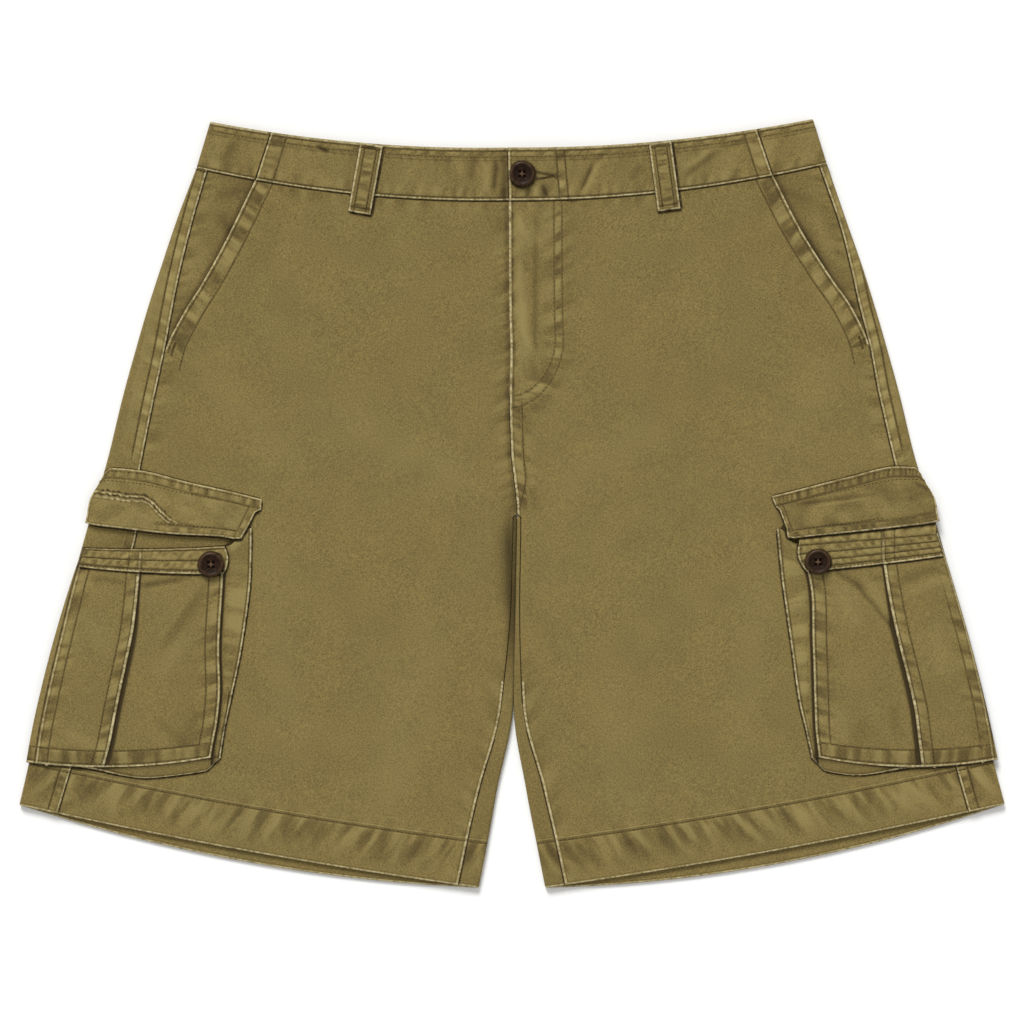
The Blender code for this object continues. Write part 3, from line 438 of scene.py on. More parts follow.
def make_twill():
    """Garment-washed cotton twill: piece-dyed olive, washed down so that every raised or
    folded edge has lost its dye. Its hollows, seams and the cloth round pieces lying on it
    are darkened with painted shade and with dye left in the seams, and its puckers and
    creases are painted lighter and darker as they would be lit and shaded. The cloth is
    matt with a faint cotton bloom. Twill lines are really about 0.5 mm apart and yarns
    0.3 mm thick: both are drawn about twice as coarse, so that they show at all."""
    finish = {"Base Color": linear(TWILL_OLIVE), "Roughness": 0.93, "Specular IOR Level": 0.22,
              "Sheen Weight": 0.1, "Sheen Roughness": 0.45, "Sheen Tint": linear("D8CDA8")}
    made, tree, surface = material("garment_washed_cotton_twill", finish)
    node = partial(add, tree)
    place = node("TexCoord", out="Object")

    # The dye: faint greenish and brownish clouds a hand wide, and smaller patches in them.
    clouds = node("TexNoise", {"Scale": 1000 / 80, "Detail": 3}, {"Vector": place})
    clouds = node("MapRange", {"From Min": 0.36, "From Max": 0.64}, {"Value": clouds})
    patches = node("TexNoise", {"Scale": 1000 / 26, "Detail": 1, "Roughness": 0.5},
                   {"Vector": place})
    colour = node("Mix", {"data_type": "RGBA", 6: linear(TWILL_BROWN), 7: linear(TWILL_GREEN)},
                  {0: clouds})
    colour = node("Mix", {"data_type": "RGBA", 7: linear(TWILL_OLIVE)}, {0: patches, 6: colour})

    # The weave: single yarns as fine mottle, and broken diagonal ribs.
    yarns = node("TexNoise", {"Scale": 1000 / YARN_LUMP, "Detail": 1, "Roughness": 0.6},
                 {"Vector": place})
    turned = node("Mapping", {"vector_type": "TEXTURE", "Rotation": (0, 0, TWILL_SLOPE),
                              "Scale": (1.8, 1, 1)}, {"Vector": place})
    ribs = node("TexNoise", {"Scale": 1000 / TWILL_RIB, "Detail": 1, "Roughness": 0.6},
                {"Vector": turned})
    weave = node("Math", {"operation": "ADD"}, {0: yarns, 1: ribs})
    light = node("MapRange", {"From Min": 0.6, "From Max": 1.4, "To Min": 0.54, "To Max": 1.46},
                 {"Value": weave})
    blotch = node("MapRange", {"From Min": 0.3, "From Max": 0.7, "To Min": 0.955, "To Max": 1.045},
                  {"Value": patches})
    light = node("Math", {"operation": "MULTIPLY"}, {0: light, 1: blotch})
    colour = node("HueSaturation", None, {"Color": colour, "Value": light})

    # The puckers along seams: soft ridges across the seam, from noise on its own run. They
    # are bumped, and painted lighter on their crests and darker in their troughs, as if lit.
    seam = node("Attribute", {"attribute_name": "seam"}, out="Vector")
    weight = node("SeparateXYZ", None, {0: seam}, out="Z")
    along = node("Mapping", {"Scale": (1 / PUCKER_PITCH, 1 / 42, 0)}, {"Vector": seam})
    folds = node("TexNoise", {"Scale": 1, "Detail": 1.5, "Roughness": 0.42}, {"Vector": along})
    folds = node("MapRange", {"From Min": 0.36, "From Max": 0.64, "To Min": -1, "To Max": 1,
                              "interpolation_type": "SMOOTHSTEP"}, {"Value": folds})
    folds = node("Math", {"operation": "MULTIPLY"}, {0: folds, 1: weight})
    tone = node("Attribute", {"attribute_name": "tone"}, out="Fac")
    tone = node("Math", {"operation": "MULTIPLY_ADD", 1: 0.68}, {0: folds, 2: tone})
    # Painted light and shade: the tone, with the puckers in it, mixes towards a paler twill where
    # it is high and a dark one where it is low.
    for full, most, painted_colour in ((1.1, 0.85, TWILL_LIT_AND_PALE), (-1.2, 0.9, TWILL_SHADE_AND_DYE)):
        share = node("MapRange", {"From Max": full, "To Max": most}, {"Value": tone})
        colour = node("Mix", {"data_type": "RGBA", 7: linear(painted_colour)}, {0: share, 6: colour})

    # The lines: painted shade and dye left in seams, under stitches and round pieces that lie
    # on the cloth, and dye worn off along edges, both broken up as the lumps of the seam
    # allowance underneath break them.
    lines = node("Attribute", {"attribute_name": "lines"}, out="Vector")
    pale, dark, row = (node("SeparateXYZ", None, {0: lines}, out=axis) for axis in "XYZ")
    uneven = node("TexNoise", {"Scale": 1000 / 4.5, "Detail": 2, "Roughness": 0.65},
                  {"Vector": place})
    kept_dye_and_shade = node("MapRange", {"From Min": 0.25, "From Max": 1, "To Min": 1, "To Max": 0},
                {"Value": dark})
    # Rows of stitches are painted darker, as shade in their groove.
    sunk = node("MapRange", {"From Min": 0.1, "From Max": 1, "To Min": 0.72, "To Max": 0},
                {"Value": node("Math", {"operation": "ABSOLUTE"}, {0: row})})
    kept_dye_and_shade = node("Math", {"operation": "MAXIMUM"}, {0: kept_dye_and_shade, 1: sunk})
    # A worn edge has a thin line of painted shade on its inner side.
    groove = node("Math", {"operation": "SUBTRACT", 1: 1.45}, {0: pale})
    groove = node("MapRange", {"From Min": 0.1, "From Max": 0.55, "To Min": 0.42, "To Max": 0},
                  {"Value": node("Math", {"operation": "ABSOLUTE"}, {0: groove})})
    kept_dye_and_shade = node("Math", {"operation": "MAXIMUM"}, {0: kept_dye_and_shade, 1: groove})
    amount = node("MapRange", {"From Min": 0.34, "From Max": 0.6, "To Min": 0.62, "To Max": 1},
                  {"Value": uneven})
    kept_dye_and_shade = node("Math", {"operation": "MULTIPLY"}, {0: kept_dye_and_shade, 1: amount})
    colour = node("Mix", {"data_type": "RGBA", 7: linear(TWILL_SHADE_AND_DYE)}, {0: kept_dye_and_shade, 6: colour})
    worn = node("MapRange", {"From Min": 0.25, "From Max": 0.85, "To Min": 1, "To Max": 0},
                {"Value": pale})
    rope = node("TexNoise", {"Scale": 1000 / 2.2, "Detail": 1}, {"Vector": place})
    rope = node("Math", {"operation": "ADD"}, {0: rope, 1: uneven})
    amount = node("MapRange", {"From Min": 1.22, "From Max": 0.8, "To Min": 0.12, "To Max": 0.92},
                  {"Value": rope})
    worn = node("Math", {"operation": "MULTIPLY"}, {0: worn, 1: amount})
    colour = node("Mix", {"data_type": "RGBA", 7: linear(TWILL_PALE)}, {0: worn, 6: colour})
    tree.links.new(colour, surface.inputs["Base Color"])

    relief = node("Bump", {"Strength": 0.9, "Distance": 0.00045}, {"Height": folds})
    relief = node("Bump", {"Strength": 0.6, "Distance": 0.00022},
                  {"Height": weave, "Normal": relief})
    tree.links.new(relief, surface.inputs["Normal"])
    return made


twill = make_twill()

hem_stops = np.array([-14, -10, -7, -5, -3.8, -2.9, -2.2, -1.7, -1.2, -0.7, -0.3, 0,
                      0.3, 0.7, 1.3, 2, 2.8, 4, 6])
LEG_ROWS = np.unique(np.round(np.concatenate((
    EDGE_STOPS / LEG_LENGTH, np.linspace(0.016, 0.98, 218), HEM_START + hem_stops / LEG_LENGTH,
    np.array([0.275, 0.286]), 1 - EDGE_STOPS / LEG_LENGTH)), 5))


def below_hem(at, distance=0):
    """Millimetres below the hem's stitches, at every distance across a row."""
    return (at - HEM_START) * LEG_LENGTH + 0 * distance


def hem_weight(at):
    """1 on the hem, 0 above it."""
    return ease(HEM_START - HEM_TURN, HEM_START, at)


def uncovered(at):
    """0 on the stretch of a leg that the cargo pocket and its flap lie on, 1 beyond it."""
    return 1 - ease(0.425, 0.455, at) * fade(0.895, 0.925, at)


def hem_relief(run, at):
    """The hem's own relief: a groove under its stitches, with a roll of cloth above it,
    and long ripples that start at the stitches and die out to the edge. Its tone paints
    the ripples and the roll lighter where they rise and the ripples darker where they fall,
    as lit and shaded."""
    below = below_hem(at)
    wave = ripple(run + 0.5 * below, 16, 7) * strip(below, 0, 30, 8)
    height = 0.22 * wave - 0.3 * bell(below, 0.9) + 0.25 * bell(below + HEM_ROLL, 1.2)
    return height, 0.3 * wave + 0.15 * bell(below + HEM_ROLL, 1)


def hem_seam(run, at, seed):
    """The puckered zone of the hem: strong below its stitches, faint just above them."""
    below = below_hem(at)
    weight = 0.75 * ease(0, 1.5, below) * fade(6, 31, below)
    weight = weight + 0.3 * fade(1, 9, -below) * (below <= 0)
    return run + 0.35 * below + 900 * seed, below, weight


def hem_roll_line(below):
    """Distance, in the measure of a worn line, from the roll above the hem's stitches."""
    return np.abs(below + 2.4) + 0.5


def leg_wall(at, distance):
    """Wall of a panel, which thickens to the hem's where the hem is turned up."""
    return WALL + (HEM_WALL - WALL) * hem_weight(at) + 0 * distance


def floor_height(at):
    """Outer height of the back layer: on the floor, but held off it at the waist."""
    return FLOOR_LIFT * fade(FLOOR_FADE, WAIST_FADE, at)


FOLD_QUARTERS = np.linspace(0, 2, 13)[None, :]     # a fold is drawn in twelve facets


def fold_arc(radius, floor, quarter_turns):
    """Distance and height round a fold, from its top at 0 to the floor at 2 quarters."""
    angle = quarter_turns * pi / 2
    return radius * (1 - np.sin(angle)), floor + radius * (1 + np.cos(angle))


def side_lift(section, distance, at):
    """Height added to the back's strip beside the side seam: proud up to its stitches."""
    inward = section.seam - distance
    near = fade(SIDE_STITCH - 0.3, SIDE_STITCH + 2.2, inward)
    return (SIDE_RIDGE * near - 0.25 * bell(inward - SIDE_STITCH, 0.8)) * uncovered(at)


def make_back(name, leg, seed):
    """Back panel. Each row is four stretches: the strip in from the side seam, the arc
    round the outer fold, the floor, and the end, which curls up round the leg below the
    crotch to the inseam and lies flat up to the centre seam above it."""
    at = LEG_ROWS[:, None]
    section = read_table(leg, LEG_ROWS)
    width = width_of(section)
    floor = floor_height(at)
    hem_rise = HEM_LIFT * hem_weight(at)

    outer_x, outer_y = leg_xy(section, section.seam, at)
    radius = (front_height(outer_x, outer_y, at) + hem_rise - floor) / 2
    arc_out, arc_height = fold_arc(radius, floor, FOLD_QUARTERS)
    start = section.seam - SEAM_GAP / 2
    stops = np.concatenate((EDGE_STOPS[:12], [6.5, 7.1, 7.5, 7.9, 8.6, 9.6]))
    strip_out = start - stops * np.minimum(1, (start - radius) / 11)
    rest = radius + (strip_out[:, -1:] - radius) * np.linspace(1, 0, 10)[None, 1:-1]
    strip_out = np.concatenate((strip_out, rest), axis=1)
    strip_height = floor + 2 * radius + 0 * strip_out

    inner_x, inner_y = leg_xy(section, width - section.inseam, at)
    inner_radius = (front_height(inner_x, inner_y, at) + hem_rise - floor) / 2
    curl_out, curl_height = fold_arc(inner_radius, floor, 2 - FOLD_QUARTERS)
    curl_end = np.maximum(section.inseam - SEAM_GAP / 2, inner_radius + 0.05)
    share = np.array([0.2, 0.4, 0.6, 0.75, 0.86, 0.93, 0.97, 0.99, 1])[None, :]
    top_out = inner_radius + (curl_end - inner_radius) * share
    top_height = floor + 2 * inner_radius + 0 * top_out
    curled_out = np.concatenate((curl_out, top_out), axis=1)
    curled_height = np.concatenate((curl_height, top_height), axis=1)
    curled_out = curled_out - LAP_CLOSE * fade(LAP_END, LAP_END + 0.06, at) * (at > CROTCH)
    flat_start = curl_out[:, :1] + 0.6
    flat_share = np.linspace(0, 1, curled_out.shape[1])[None, :]
    flat_out = flat_start - (flat_start + LAP_CLOSE) * flat_share
    end_out = np.where(at > CROTCH, curled_out, flat_out)
    end_height = np.where(at > CROTCH, curled_height, floor)

    floor_share = np.linspace(0, 1, 40)[None, 1:-1]
    floor_out = arc_out[:, -1:] + (width - end_out[:, :1] - arc_out[:, -1:]) * floor_share
    distance = np.concatenate((strip_out, arc_out, floor_out, width - end_out), axis=1)
    z = np.concatenate((strip_height, arc_height, floor + 0 * floor_out, end_height), axis=1)

    # The hem of the back hangs lower than the front's, so the rise fades round each fold.
    rise = (z - floor) / (2 * radius)
    x, y_top = leg_xy(section, distance, at)
    _, y_floor = leg_xy(section, distance, at, front=False)
    y = y_floor + (y_top - y_floor) * ease(0.2, 0.8, rise) - np.where(at == 0, SEAM_GAP, 0)
    on_top = ease(0.85, 0.99, rise)
    outer_half = distance < 0.5 * width
    hem_lift, hem_tone = hem_relief(distance, at)
    z = z + side_lift(section, distance, at) * on_top * outer_half + hem_lift * on_top

    turned, legs = rise > 0.9, at > CROTCH
    inward = only(outer_half & turned, start - distance)
    inseam = only(legs & ~outer_half & turned, distance - (width - curl_end))
    centre = only(~legs & ~outer_half, width - distance)
    bottom = (1 - at) * LEG_LENGTH + 0 * distance
    below = below_hem(at, distance)
    row = only(outer_half & turned & (uncovered(at) > 0.5), inward - SIDE_STITCH)
    weight = 0.9 * strip(inward, 0, SIDE_STITCH, 1.2) + 0.4 * ease(7, 9, inward)
    weight = weight * on_top * outer_half * fade(8, 17, start - distance)
    # The wearer's left leg lies over the right one, whose curl is darkened by painted shade;
    # the tops of both curls between the legs and the row of stitches by the side seam get a
    # little painted shade too, and the hem's ripples get painted light and shade.
    in_lap = fade(LAP_END - 0.1, LAP_END + 0.04, at) * legs
    past_row = ease(SIDE_STITCH + 0.3, SIDE_STITCH + 1.5, inward) * (inward < FAR + SIDE_STITCH)
    marks = {
        "pale": np.minimum(nearest(inward - WORN, bottom - WORN), hem_roll_line(below)),
        "dark": nearest(inseam + LAP_SEAM * in_lap, centre),
        "stitch": nearest(row, below),
        "tone": hem_tone * (0.4 + 0.6 * on_top)
                - 0.12 * legs * ~outer_half * on_top
                - 0.9 * in_lap * ~outer_half * ease(0.1, 0.5, rise) * (leg is RIGHT_LEG)
                + 0.55 * strip(inward, 1.2, SIDE_STITCH - 0.2, 1) * uncovered(at) * (at < CROTCH)
                + 0.32 * past_row * fade(0.36, 0.45, at) * on_top - 0.35 * bell(row, 0.8),
        "seam": strongest((at * LEG_LENGTH + 0.3 * inward + 900 * seed, inward, weight),
                          hem_seam(distance, at, seed)),
    }
    roll = nose(least(inward, inseam, bottom))
    return cloth(name, grid(x, y, z), roll, leg_wall(at, distance), marks, flip=leg is RIGHT_LEG)


for name, leg, seed in (("back_panel_right", RIGHT_LEG, 11), ("back_panel_left", LEFT_LEG, 12)):
    back = make_back(name + "_cloth", leg, seed)
    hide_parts(name)

# ==== Front panels ===============================================================
# Two fronts of the same twill. The slant pocket edge is faced and topstitched twice, the
# left front ends in the fly, which laps over the right one and is held by two J-shaped
# rows of stitches, and below the fly the two are joined by a topstitched centre seam.
FLY_LAP, FLY_LIFT, FLY_WIDTH, FLY_BEND, FLY_END = 9, 1.6, 39, 0.2, 0.286
J_FALL = FLY_END + 0.014 - FLY_BEND     # share of the leg over which the J bends
J_ROWS = (33, 39.4)         # in from the fly's edge
CENTRE_STITCH, CENTRE_RIDGE = 9, 0.5
TAPER_START, TAPER_END = 0.395, 0.466       # where the row runs into the centre seam
PRESSED = slice(2, 10)      # the creases of FRONT_CREASES that are also painted lighter along their ridges, as lit
SLANT_LIFT, SLANT_BAND, SLANT_FADE, SLANT_END = 1.6, 13.2, 26, 0.275
SLANT_STITCH, SLANT_TACK = 2.4, 5
# Folds pressed into the fly by wear, in the same plan as the creases of the front.
FLY_FOLDS = rows_of(
    Crease,
    (5.5, 214, 6.5, 96, 4, 0.55), (18, 218, 16.5, 92, 2.2, -0.55), (3, 212, 15, 190, 3, 0.5),
    (4, 186, 13, 170, 3, -0.4), (15, 205, 22, 188, 2.6, 0.4), (9, 150, 11, 108, 3.5, 0.5),
    (12, 124, 20, 98, 2.5, 0.45), (4, 128, 9, 112, 2.6, -0.35),
)
# Where one leg has lain over the other there is a worn ridge, and beside it the cloth is darkened
# with painted shadow.
LAP_SHADE = rows_of(
    Crease,
    (-1.5, 2, 0.5, -146, 4.5, -0.85), (-6, -14, -5, -80, 6, -0.35),
)


def slant_lift(section, distance, at):
    """Lift beside the slant pocket: full on the facing, then dying out."""
    near = fade(SLANT_BAND, SLANT_BAND + SLANT_FADE, distance - section.slant)
    return SLANT_LIFT * near * fade(SLANT_END + 0.012, SLANT_END + 0.06, at)


def fly_reach(section, distance, at):
    """Distance from the fly's edge, seen by an ellipse that bends it into the J."""
    width = width_of(section)
    below = np.clip(at - FLY_BEND, 0, None) / J_FALL
    return np.hypot(width - distance, FLY_WIDTH * below)


def centre_row(at):
    """Distance of the topstitching from the centre seam, which it runs into."""
    return CENTRE_STITCH * fade(TAPER_START, TAPER_END, at)


def front_surface(leg, distance, at):
    """Points of a front's outer side with its sewn relief, and its tone, rows and seams."""
    section = read_table(leg, at[:, 0])
    width = width_of(section)
    left = leg is LEFT_LEG
    x, y = leg_xy(section, distance, at)
    y = y - np.where(at == 0, SEAM_GAP, 0)
    z = front_height(x, y, at) + slant_lift(section, distance, at) + HEM_LIFT * hem_weight(at)
    run, seed = at * LEG_LENGTH + 0 * distance, 3 + left
    above_crotch = fade(CROTCH - 0.012, CROTCH, at)

    on_slant = at < SLANT_END + 0.004
    into = distance - section.slant
    first, second = into - SLANT_STITCH, into - SLANT_BAND
    z = z - on_slant * (0.25 * bell(first, 0.8) + 0.35 * bell(second, 0.9))
    rows = [only(on_slant, first), only(at < SLANT_END + 0.028, second)]
    weight = strip(into, 0, SLANT_BAND, 1.6)
    weight = weight + 0.15 * ease(14, 15.5, into) * fade(15.5, 30, into)
    zones = [(run - 0.5 * into + 900 * seed, into, weight * on_slant)]
    beside = distance - section.seam
    zones.append((run + 0.4 * beside + 950 * seed, beside,
                  0.5 * fade(3, 16, beside) * ~on_slant * uncovered(at)))

    from_centre = width - distance
    if left:
        reach = fly_reach(section, distance, at)
        on_fly = fade(FLY_WIDTH, FLY_WIDTH * 1.05, reach)
        z = z + FLY_LIFT * fade(1, 1.22, reach / FLY_WIDTH)
        folds = crease_height(FLY_FOLDS, x, y) * on_fly
        # The fly's folds are painted lighter and darker as lit and shaded, and the cloth just in
        # from its edge is painted darker.
        z, tone = z + 0.9 * folds, 0.9 * folds - 0.55 * bell(from_centre - 2.7, 1) * on_fly
        pair = (reach - J_ROWS[0]) * (reach - J_ROWS[1]) / (J_ROWS[1] - J_ROWS[0])
        z = z - 0.28 * bell(pair, 0.9)
        rows.append(pair)
        bent = run + 0.8 * (at >= FLY_BEND) * (FLY_WIDTH - from_centre)
        weight = 0.95 * strip(reach, J_ROWS[0], J_ROWS[1], 1.2)
        weight = weight + 0.45 * ease(18, 32, reach) * (reach < J_ROWS[0])
        weight = weight + 0.4 * (reach > J_ROWS[1]) * fade(41, 54, reach)
        zones.append((bent + 0.5 * from_centre + 1000 * seed, from_centre, weight))
        zones.append((run + 0.6 * from_centre + 1100 * seed, from_centre,
                      0.55 * fade(2, 9, from_centre) * on_fly))
        below_fly = ease(FLY_END + 0.004, FLY_END + 0.012, at) * above_crotch
        taper = centre_row(at)
        z = z + below_fly * (CENTRE_RIDGE * fade(taper, taper + 2, from_centre)
                             - 0.3 * bell(from_centre - taper, 0.9))
        rows.append(only(below_fly > 0.3, from_centre - taper))
        weight = 0.9 * strip(from_centre, 0, CENTRE_STITCH)
        weight = weight + 0.4 * (from_centre > CENTRE_STITCH) * fade(10, 22, from_centre)
        zones.append((run - 0.5 * from_centre + 1200 * seed, from_centre, weight * below_fly))
    else:
        zones.append((run - 0.4 * from_centre + 1000 * seed, from_centre,
                      0.5 * fade(2, 16, from_centre) * above_crotch))
        # Painted shade on the right front where the left leg and the fly lie over it.
        tone = crease_height(LAP_SHADE, x, y) - 0.55 * bell(from_centre - 1, 2.3) * above_crotch

    from_inseam = from_centre - section.inseam
    zones.append((run * 0.6 + 0.4 * from_inseam + 1300 * seed, from_inseam,
                  0.45 * fade(2, 18, from_inseam) * ease(0.62, 0.72, at)))
    zones.append((distance - 0.4 * run + 1400 * seed, run,
                  0.4 * ease(1, 2.5, run) * fade(3, 14, run)))
    zones.append(hem_seam(distance, at, seed + 20))
    hem_lift, hem_tone = hem_relief(distance, at)
    rows.append(below_hem(at, distance))
    z, tone = z + hem_lift - 0.5 * bell(run, 2), tone + hem_tone
    # A run of stitches on the waistband's edge leaves the cloth below it slightly darker.
    # Painted shade darkens the cloth just below the waistband's edge.
    tone = tone - 0.22 * bell(run - 1, 3.5)
    tone = tone + 0.22 * crease_height(FRONT_CREASES[PRESSED], x, y)
    return grid(x, y, z), {"tone": tone, "stitch": nearest(*rows), "seam": strongest(*zones)}


def make_front(name, leg, lap):
    """Front panel, from the slant edge and side seam to the centre seam and inseam."""
    at = LEG_ROWS[:, None]
    section = read_table(leg, LEG_ROWS)
    width = width_of(section)
    outer = np.where(at <= SLANT_END, section.slant, section.seam + SEAM_GAP / 2)
    under = lap * fade(SLANT_END - 0.01, FLY_END, at)
    inner = width - np.where(at < CROTCH, -under, section.inseam + SEAM_GAP / 2)
    slant_stops = np.concatenate((EDGE_STOPS[:8], [2.1, 2.4, 2.8], EDGE_STOPS[9:],
                                  [9, 10.8, 12.2, 13.2, 14, 14.9, 16.2, 18, 20.5]))
    fly_stops = np.concatenate((EDGE_STOPS, [8.2, 9, 9.8], np.arange(11, 44, 1.4)))
    distance = columns(outer, inner, slant_stops, fly_stops, 40)
    points, marks = front_surface(leg, distance, at)
    from_outer, from_inner = distance - outer, inner - distance
    bottom, top = (1 - at) * LEG_LENGTH, at * LEG_LENGTH
    worn_outer = only(at <= SLANT_END, from_outer - WORN)
    hidden = (at < LAP_END) & ((leg is RIGHT_LEG) | (at > CROTCH))
    worn_inner = only(~hidden, np.maximum(np.abs(from_inner - 0.75) - 0.25, 0))
    marks["pale"] = nearest(worn_outer, worn_inner, bottom - WORN + 0 * distance)
    marks["pale"] = np.minimum(marks["pale"], hem_roll_line(below_hem(at, distance)))
    # Dark lines of painted shadow and dye left in the seam where the back's edge and the
    # waistband's edge lie over the front.
    marks["dark"] = nearest(only(at > SLANT_END, from_outer), top - 0.1 + 0 * distance)
    roll = nose(least(from_outer, from_inner, bottom, top))
    return cloth(name, points, roll, leg_wall(at, distance), marks, flip=leg is LEFT_LEG)


for name, leg, lap in (("front_panel_right", RIGHT_LEG, FLY_LAP),
                       ("front_panel_left", LEFT_LEG, 0)):
    front = make_front(name + "_cloth", leg, lap)
    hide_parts(name)

# ==== Hip panels =================================================================
# The pocket backs that show behind the slant edges: the same twill, sewn in between the
# side seam and the waist seam, and loose under the slant edge, which shades them.
POCKET_TUCK = 8
HIP_FOLDS = rows_of(
    Crease,
    (-219, 226, -196, 232, 4, -0.5), (-216, 214, -202, 190, 4, -0.5),
    (-226, 190, -238, 160, 7, 0.35), (196, 232, 222, 222, 4, -0.3), (212, 205, 232, 170, 5, -0.4),
    (222, 214, 236, 180, 5, 0.35),
)


def make_hip_panel(name, leg, seed):
    """Cloth from the side seam to under the slant edge, darker where the edge shades it."""
    stops = np.array([0, 0.06, 0.2, 0.42, 0.7, 1.2, 2.2]) / LEG_LENGTH
    rows = np.unique(np.concatenate((stops, np.linspace(0.008, 0.5 * (SLANT_END + FLY_END), 70))))
    at = rows[:, None]
    section = read_table(leg, rows)
    outer = section.seam + SEAM_GAP / 2
    distance = columns(outer, section.slant + POCKET_TUCK, EDGE_STOPS[:9], np.array([0]), 18)
    x, y = leg_xy(section, distance, at)
    y = y - np.where(at == 0, SEAM_GAP, 0)
    run = at * LEG_LENGTH + 0 * distance
    beside, shade = distance - outer, section.slant - distance
    folds = crease_height(HIP_FOLDS, x, y)
    z = front_height(x, y, at) + 0.8 * folds - 0.5 * bell(run, 2)
    # Painted shade under the slant edge and below the waistband, painted light and shade on its
    # folds, and a dark line of painted shadow along its seams.
    marks = {
        "dark": nearest(beside, run - 0.1),
        "tone": 0.8 * folds - 0.7 * bell(shade, 2.6) - 0.16 * bell(shade, 14)
                - 0.25 * bell(run - 1, 4) - 0.08,
        "seam": (run + 0.4 * beside + 900 * seed, beside, 0.45 * fade(2, 14, beside)),
    }
    roll = nose(np.minimum(beside, run))
    return cloth(name, grid(x, y, z), roll, WALL, marks, flip=leg is LEFT_LEG)


for name, leg, seed, size in (("hip_panel_right", RIGHT_LEG, 41, (0.038, 0.152)),
                              ("hip_panel_left", LEFT_LEG, 42, (0.034, 0.152))):
    hip = make_hip_panel(name + "_cloth", leg, seed)
    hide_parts(name)

# ==== Topstitching of the legs ===================================================
# Tonal cotton-wrapped thread, a shade darker than the washed cloth, in lockstitches
# 3 mm apart that pull it down: slant edges, side seams, fly, centre seam and hems.
STITCH_PITCH, STITCH_LENGTH, STITCH_RADIUS = 3, 2.2, 0.29
TACK_PITCH, TACK_RADIUS = 0.55, 0.24
THREAD_OLIVE, THREAD_PALE = "4B3B18", "6F5E34"


def make_thread():
    """Cotton-wrapped polyester thread, matt, each stitch faded a little differently."""
    finish = {"Base Color": linear(THREAD_OLIVE), "Roughness": 0.78, "Specular IOR Level": 0.25}
    made, tree, surface = material("cotton_wrapped_thread", finish)
    node = partial(add, tree)
    faded = node("TexNoise", {"Scale": 1000 / 6, "Detail": 2},
                 {"Vector": node("TexCoord", out="Object")})
    faded = node("MapRange", {"From Min": 0.44, "From Max": 0.68}, {"Value": faded})
    colour = node("Mix", {"data_type": "RGBA", 6: linear(THREAD_OLIVE), 7: linear(THREAD_PALE)},
                  {0: faded})
    tree.links.new(colour, surface.inputs["Base Color"])
    return made


thread = make_thread()


def stitches(name, starts, ends, up=1, radius=STITCH_RADIUS, finish=None):
    """Stitches from starts to ends, joined into one mesh.

    Each is a four-sided bar of four rings, thin and sunk into the cloth at its ends.
    """
    along = (ends - starts) / np.linalg.norm(ends - starts, axis=1, keepdims=True)
    side = np.cross(along, (0, 0, up))
    side = side / np.linalg.norm(side, axis=1, keepdims=True)
    rise = np.cross(side, along)
    share = np.array([0, 0.22, 0.78, 1])[None, :, None, None]
    swell = radius * np.array([0.4, 1, 1, 0.4])[None, :, None, None]
    lift = np.array([-0.12, 0.08, 0.08, -0.12])[None, :, None, None]
    turn = np.array([0.25, 0.75, 1.25, 1.75])[None, None, :, None] * pi
    first, last, side, rise = (a[:, None, None, :] for a in (starts, ends, side, rise))
    points = first + (last - first) * share + rise * lift
    points = points + swell * (side * np.cos(turn) + rise * 0.8 * np.sin(turn))
    rings = np.arange(16).reshape(4, 4)
    near, far = rings[:-1], rings[1:]
    bar = np.stack((near, np.roll(near, -1, 1), np.roll(far, -1, 1), far), -1).reshape(-1, 4)
    bar = np.concatenate((bar, [[3, 2, 1, 0], [12, 13, 14, 15]]))
    faces = (bar[None] + 16 * np.arange(len(starts))[:, None, None]).reshape(-1, 4)
    mesh = bpy.data.meshes.new(name)
    mesh.from_pydata(points.reshape(-1, 3) * MM, [], faces)
    mesh.shade_smooth()
    return dress(name, mesh, finish or thread)


def run_of(path):
    """Length of a path up to each of its points."""
    return np.concatenate(([0], np.cumsum(np.linalg.norm(np.diff(path, axis=0), axis=1))))


def points_at(path, run, place):
    """Points of a path at places along its length."""
    return np.stack([np.interp(place, run, path[:, i]) for i in range(3)], -1)


def spaced(paths):
    """Ends of the stitches along paths of points, with pitch and length varied by a few
    per cent."""
    starts, ends = [], []
    for number, path in enumerate(paths):
        rng = np.random.default_rng(number + len(path))
        run = run_of(path)
        first = np.arange(0.3 * STITCH_PITCH, run[-1] - STITCH_LENGTH, STITCH_PITCH)
        first = first + rng.uniform(-0.05, 0.05, first.shape) * STITCH_PITCH
        last = first + STITCH_LENGTH * rng.uniform(0.88, 1.06, first.shape)
        starts.append(points_at(path, run, first))
        ends.append(points_at(path, run, last))
    return np.concatenate(starts), np.concatenate(ends)


def sew(name, paths, up=1):
    """Rows of stitches along paths, as one piece."""
    return stitches("stitches_" + name, *spaced(paths), up=up)


def bar_tack(path, width, up=1):
    """Ends of a tack's dense stitches, which lie across a path."""
    run = run_of(path)
    middle = points_at(path, run, np.arange(0, run[-1], TACK_PITCH))
    side = np.cross(path[-1] - path[0], (0, 0, up))
    side = 0.5 * width * side / np.linalg.norm(side)
    return middle - side, middle + side


def front_path(leg, distance, at):
    """Line down a front through the shares at, its distance worked out from the section."""
    return front_surface(leg, distance(read_table(leg, at)) + 0 * at[:, None], at[:, None])[0][:, 0]


